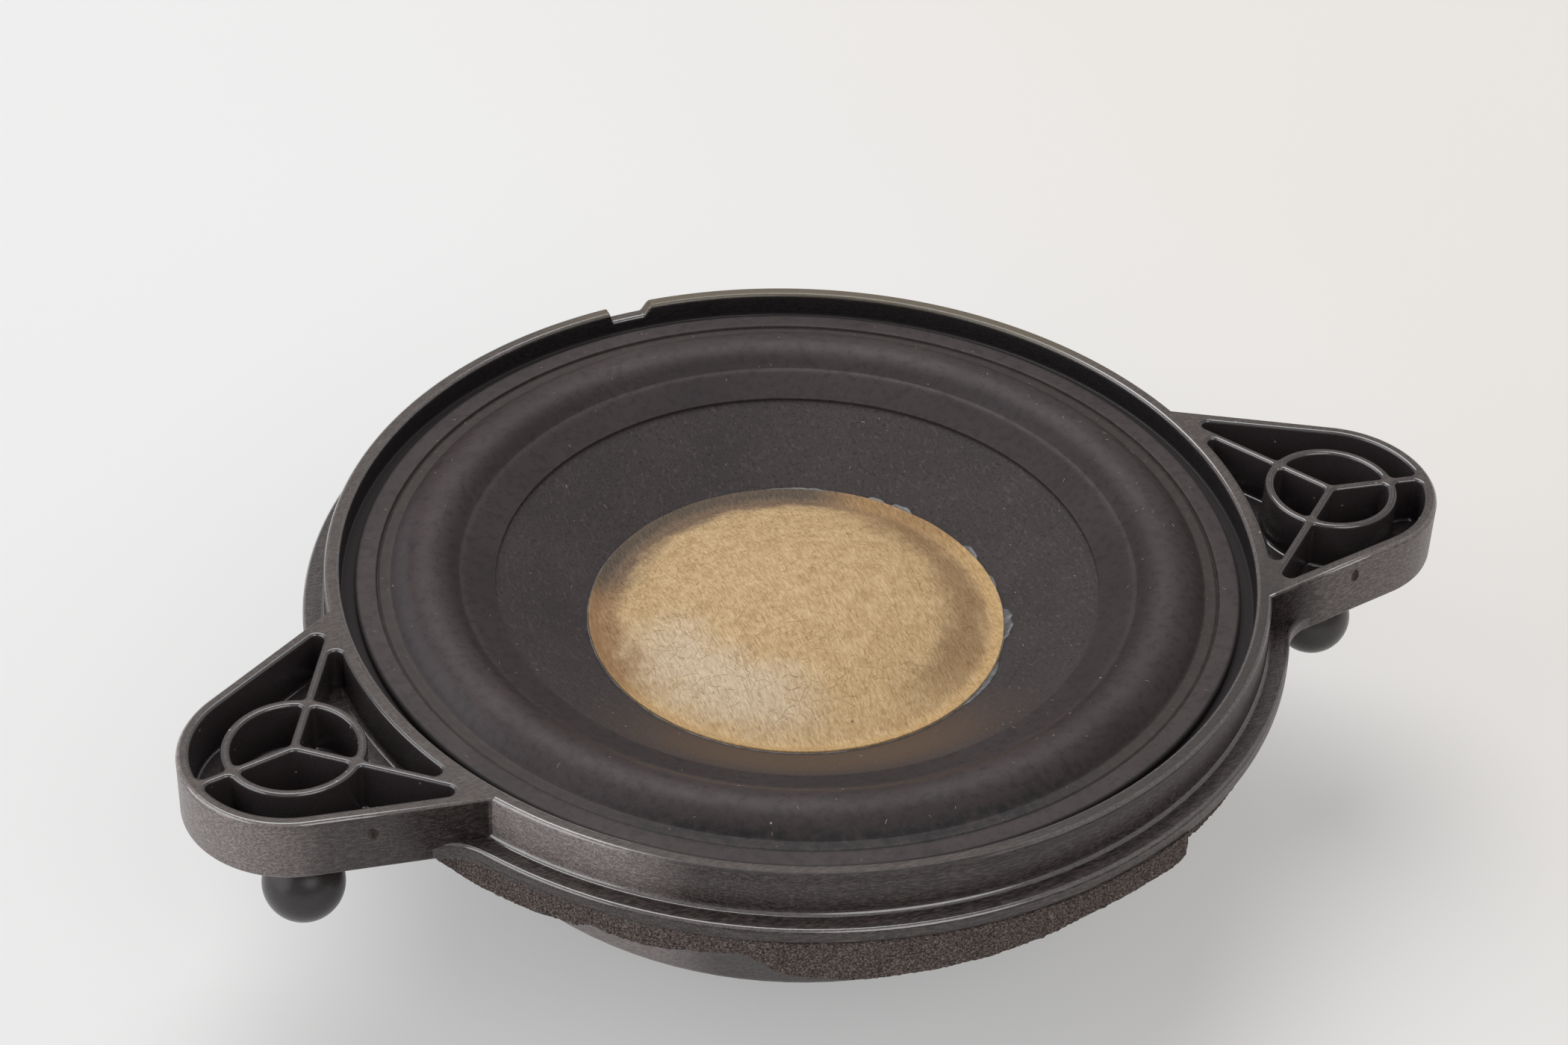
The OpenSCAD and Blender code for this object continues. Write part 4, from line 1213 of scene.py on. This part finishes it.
def spider_corners():
    radii = [WAVE_IN + (WAVE_OUT - WAVE_IN) * k / 56 for k in range(57)]
    low = SPIDER_MID - SPIDER_HALF
    high = SPIDER_MID + SPIDER_HALF
    return [
        (SPIDER_IN, low, 0.1), *((r, spider_height(r) - SPIDER_HALF) for r in radii),
        (SPIDER_OUT, low, 0.1), (SPIDER_OUT, high, 0.1),
        *((r, spider_height(r) + SPIDER_HALF) for r in reversed(radii)),
        (SPIDER_IN + 0.5, high, 0.2), (SPIDER_IN + 0.5, COLLAR_TOP, 0.1), (SPIDER_IN, COLLAR_TOP, 0.1)]


spider = shape("spider_cloth_disc", turning(spider_corners(), 0.6, 300), spider_look)
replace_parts(spider, "spider")
blend_by_radius(spider, WAVE_OUT, WAVE_IN)


def lead(side):
    """A flat braid along the spider's waves and on along the shelf."""
    half = 0.8
    thick = 0.3
    aside = 3.5
    start = sqrt((SPIDER_IN + 0.6) ** 2 - (aside - half) ** 2)
    end = 36.3
    steps = 190
    outline = rounded([(-half, 0, 0.1), (half, 0, 0.1), (half, thick, 0.1), (-half, thick, 0.1)])
    size = len(outline)
    points = []
    for k in range(steps + 1):
        y = start + (end - start) * k / steps
        for spot, normal in outline:
            x = side * aside + spot.x
            twill = 0.015 * sin(16 * (y + spot.x)) * sin(16 * (y - spot.x))
            z = spider_height(hypot(x, y)) + thick + spot.y
            points.append(Vector((x, y, z + twill * (spot.y > thick / 2))))
    faces = [list(range(size)), [steps * size + i for i in range(size)][::-1]]
    for a in range(0, steps * size, size):
        for i in range(size):
            k = (i + 1) % size
            faces.append([a + i, a + size + i, a + size + k, a + k])
    return points, [], faces


for side, name in ((-1, "left"), (1, "right")):
    strip = shape("lead_braid_" + name, lead(side), braid_look)
    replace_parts(strip, "lead_" + name)
    blend_by_radius(strip, WAVE_OUT, WAVE_IN)


# Motor and terminals

CUP_OUT = 17
CUP_IN = 13.8
CUP_RIM = 11.5
CUP_FLOOR = 3

cup_corners = [(0, 0), (CUP_OUT, 0, 0.6), (CUP_OUT, CUP_RIM, 0.25), (CUP_IN, CUP_RIM, 0.25),
               (CUP_IN, CUP_FLOOR, 0.3), (0, CUP_FLOOR)]
motor_cup = shape("motor_cup_shape", turning(cup_corners, 1, 180, closed=False), steel_look,
                  "frame", own_normals=True)
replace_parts(motor_cup, "motor_cup")


def glue_run(place, facing, angle):
    ripple = noise.noise(polar(4, angle, place.z))
    return place + Vector((facing.x, facing.y, 0)) * 0.12 * ripple - facing * 0.13, facing


on_cup = CUP_OUT + 0.05
shelf = 5.95
motor_glue_corners = [(on_cup, shelf - 1.1, 0.1), (on_cup + 1.1, shelf, 0.25), (on_cup, shelf)]
motor_glue = shape("motor_glue_bead", turning(motor_glue_corners, 0.3, 240, reshape=glue_run), dark_glue_look,
                   "frame")
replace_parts(motor_glue, "motor_glue")


def eased(node, name, width, look):
    """A node's own flat-sided shape with its edges rounded."""
    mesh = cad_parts[node].data.copy()
    work = bmesh.new()
    work.from_mesh(mesh)
    bmesh.ops.remove_doubles(work, verts=work.verts, dist=1e-6)
    bmesh.ops.dissolve_limit(work, angle_limit=radians(1), verts=work.verts, edges=work.edges)
    sharp = [edge for edge in work.edges if len(edge.link_faces) == 2 and edge.calc_face_angle(0) > 0.5]
    bmesh.ops.bevel(work, geom=sharp, offset=width * MM, segments=3, profile=0.5, affect="EDGES",
                    clamp_overlap=True)
    for face in work.faces:
        face.smooth = False
    work.to_mesh(mesh)
    work.free()
    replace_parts(dressed(name, mesh, look, "frame"), node)


eased("terminal_housing", "terminal_housing_shape", 0.18, basket_look)
eased("terminal_blade_left", "terminal_blade_shape_left", 0.12, brass_look)
eased("terminal_blade_right", "terminal_blade_shape_right", 0.12, brass_look)

for node_name, look in (("voice_coil_former", film_look), ("voice_coil_winding", copper_look),
                        ("neck_glue", dark_glue_look), ("magnet", magnet_look), ("pole_plate", steel_look),
                        ("lead_solder", solder_look)):
    for material_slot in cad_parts[node_name].material_slots:
        material_slot.material = look


# Camera, floor and light

def aim(thing, place, target, roll=0.0):
    forward = (Vector(target) - Vector(place)).normalized()
    right = forward.cross(Vector((0, 0, 1))).normalized()
    up = right.cross(forward)
    turned_right = right * cos(roll) + up * sin(roll)
    turned_up = up * cos(roll) - right * sin(roll)
    turn = Matrix((turned_right, turned_up, -forward)).transposed().to_4x4()
    thing.matrix_world = Matrix.Translation(Vector(place) * MM) @ turn


def add_camera():
    azimuth = radians(-24.613)
    elevation = radians(37.6)
    roll = radians(2.1425)
    distance = 370.9
    target = Vector((0.366, 4.867, 36.0))
    away = Vector((cos(elevation) * sin(azimuth), -cos(elevation) * cos(azimuth), sin(elevation)))
    data = bpy.data.cameras.new("camera")
    data.sensor_width = 36
    data.lens = 79.68
    data.clip_start = 0.01
    data.clip_end = 20
    camera = placed("camera", data)
    aim(camera, target + away * distance, target, roll)
    bpy.context.scene.camera = camera


def add_lamp(name, place, size, power, colour=(1, 1, 1)):
    data = bpy.data.lights.new(name, "AREA")
    data.shape = "DISK"
    data.size = size * MM
    data.energy = power
    data.color = colour
    aim(placed(name, data), place, (0, 0, 20))


def add_floor():
    """A wide sheet of paper that the camera sees paler than its lit colour."""
    look = Look("floor_paper")
    # Painted shade: the paper a little darker and warmer towards the right
    aside = look.span(look.axis(look.place, "X"), -0.02, 0.16)
    paper = look.mix(aside, (238, 238, 238), (236, 232, 228))
    look.colour = paper
    look.stain(look.mix(1.0, paper, (252, 251, 250), "MULTIPLY"), look.cloud(0.004, 2))
    look.finish(roughness=0.8, specular_ior_level=0.2)
    seen = look.node("ShaderNodeLightPath").outputs
    ways = look.most(seen["Is Glossy Ray"], seen["Is Transmission Ray"], seen["Is Camera Ray"])
    pale = look.node("ShaderNodeEmission", {"Color": paper})
    both = look.node("ShaderNodeMixShader", {"Fac": look.times(ways, 0.36)})
    look.put(both.inputs[1], look.shader.outputs[0])
    look.put(both.inputs[2], pale.outputs[0])
    look.put(look.tree.nodes["Material Output"].inputs["Surface"], both.outputs[0])
    half_metres = 3.0
    steps = 12
    row = steps + 1
    lines = [half_metres * (2 * k / steps - 1) for k in range(row)]
    spots = [(x, y, 0) for y in lines for x in lines]
    corners = [j * row + i for j in range(steps) for i in range(steps)]
    mesh = bpy.data.meshes.new("floor")
    mesh.from_pydata(spots, [], [(a, a + 1, a + row + 1, a + row) for a in corners])
    mesh.materials.append(look.material)
    floor = placed("floor", mesh)


def add_world():
    world = bpy.data.worlds.new("studio")
    world.use_nodes = True
    background = world.node_tree.nodes["Background"]
    background.inputs["Color"].default_value = (1, 0.995, 0.99, 1)
    background.inputs["Strength"].default_value = 0.33
    bpy.context.scene.world = world


add_camera()
add_floor()
add_world()
add_lamp("back", (30, 450, 1090), 1020, 8.0)
add_lamp("left", (-1170, 60, 460), 1500, 7.2, (0.95, 0.975, 1.0))
add_lamp("front", (100, -1000, 820), 850, 2.6, (1.0, 0.98, 0.965))
bpy.context.scene.view_settings.view_transform = "Standard"
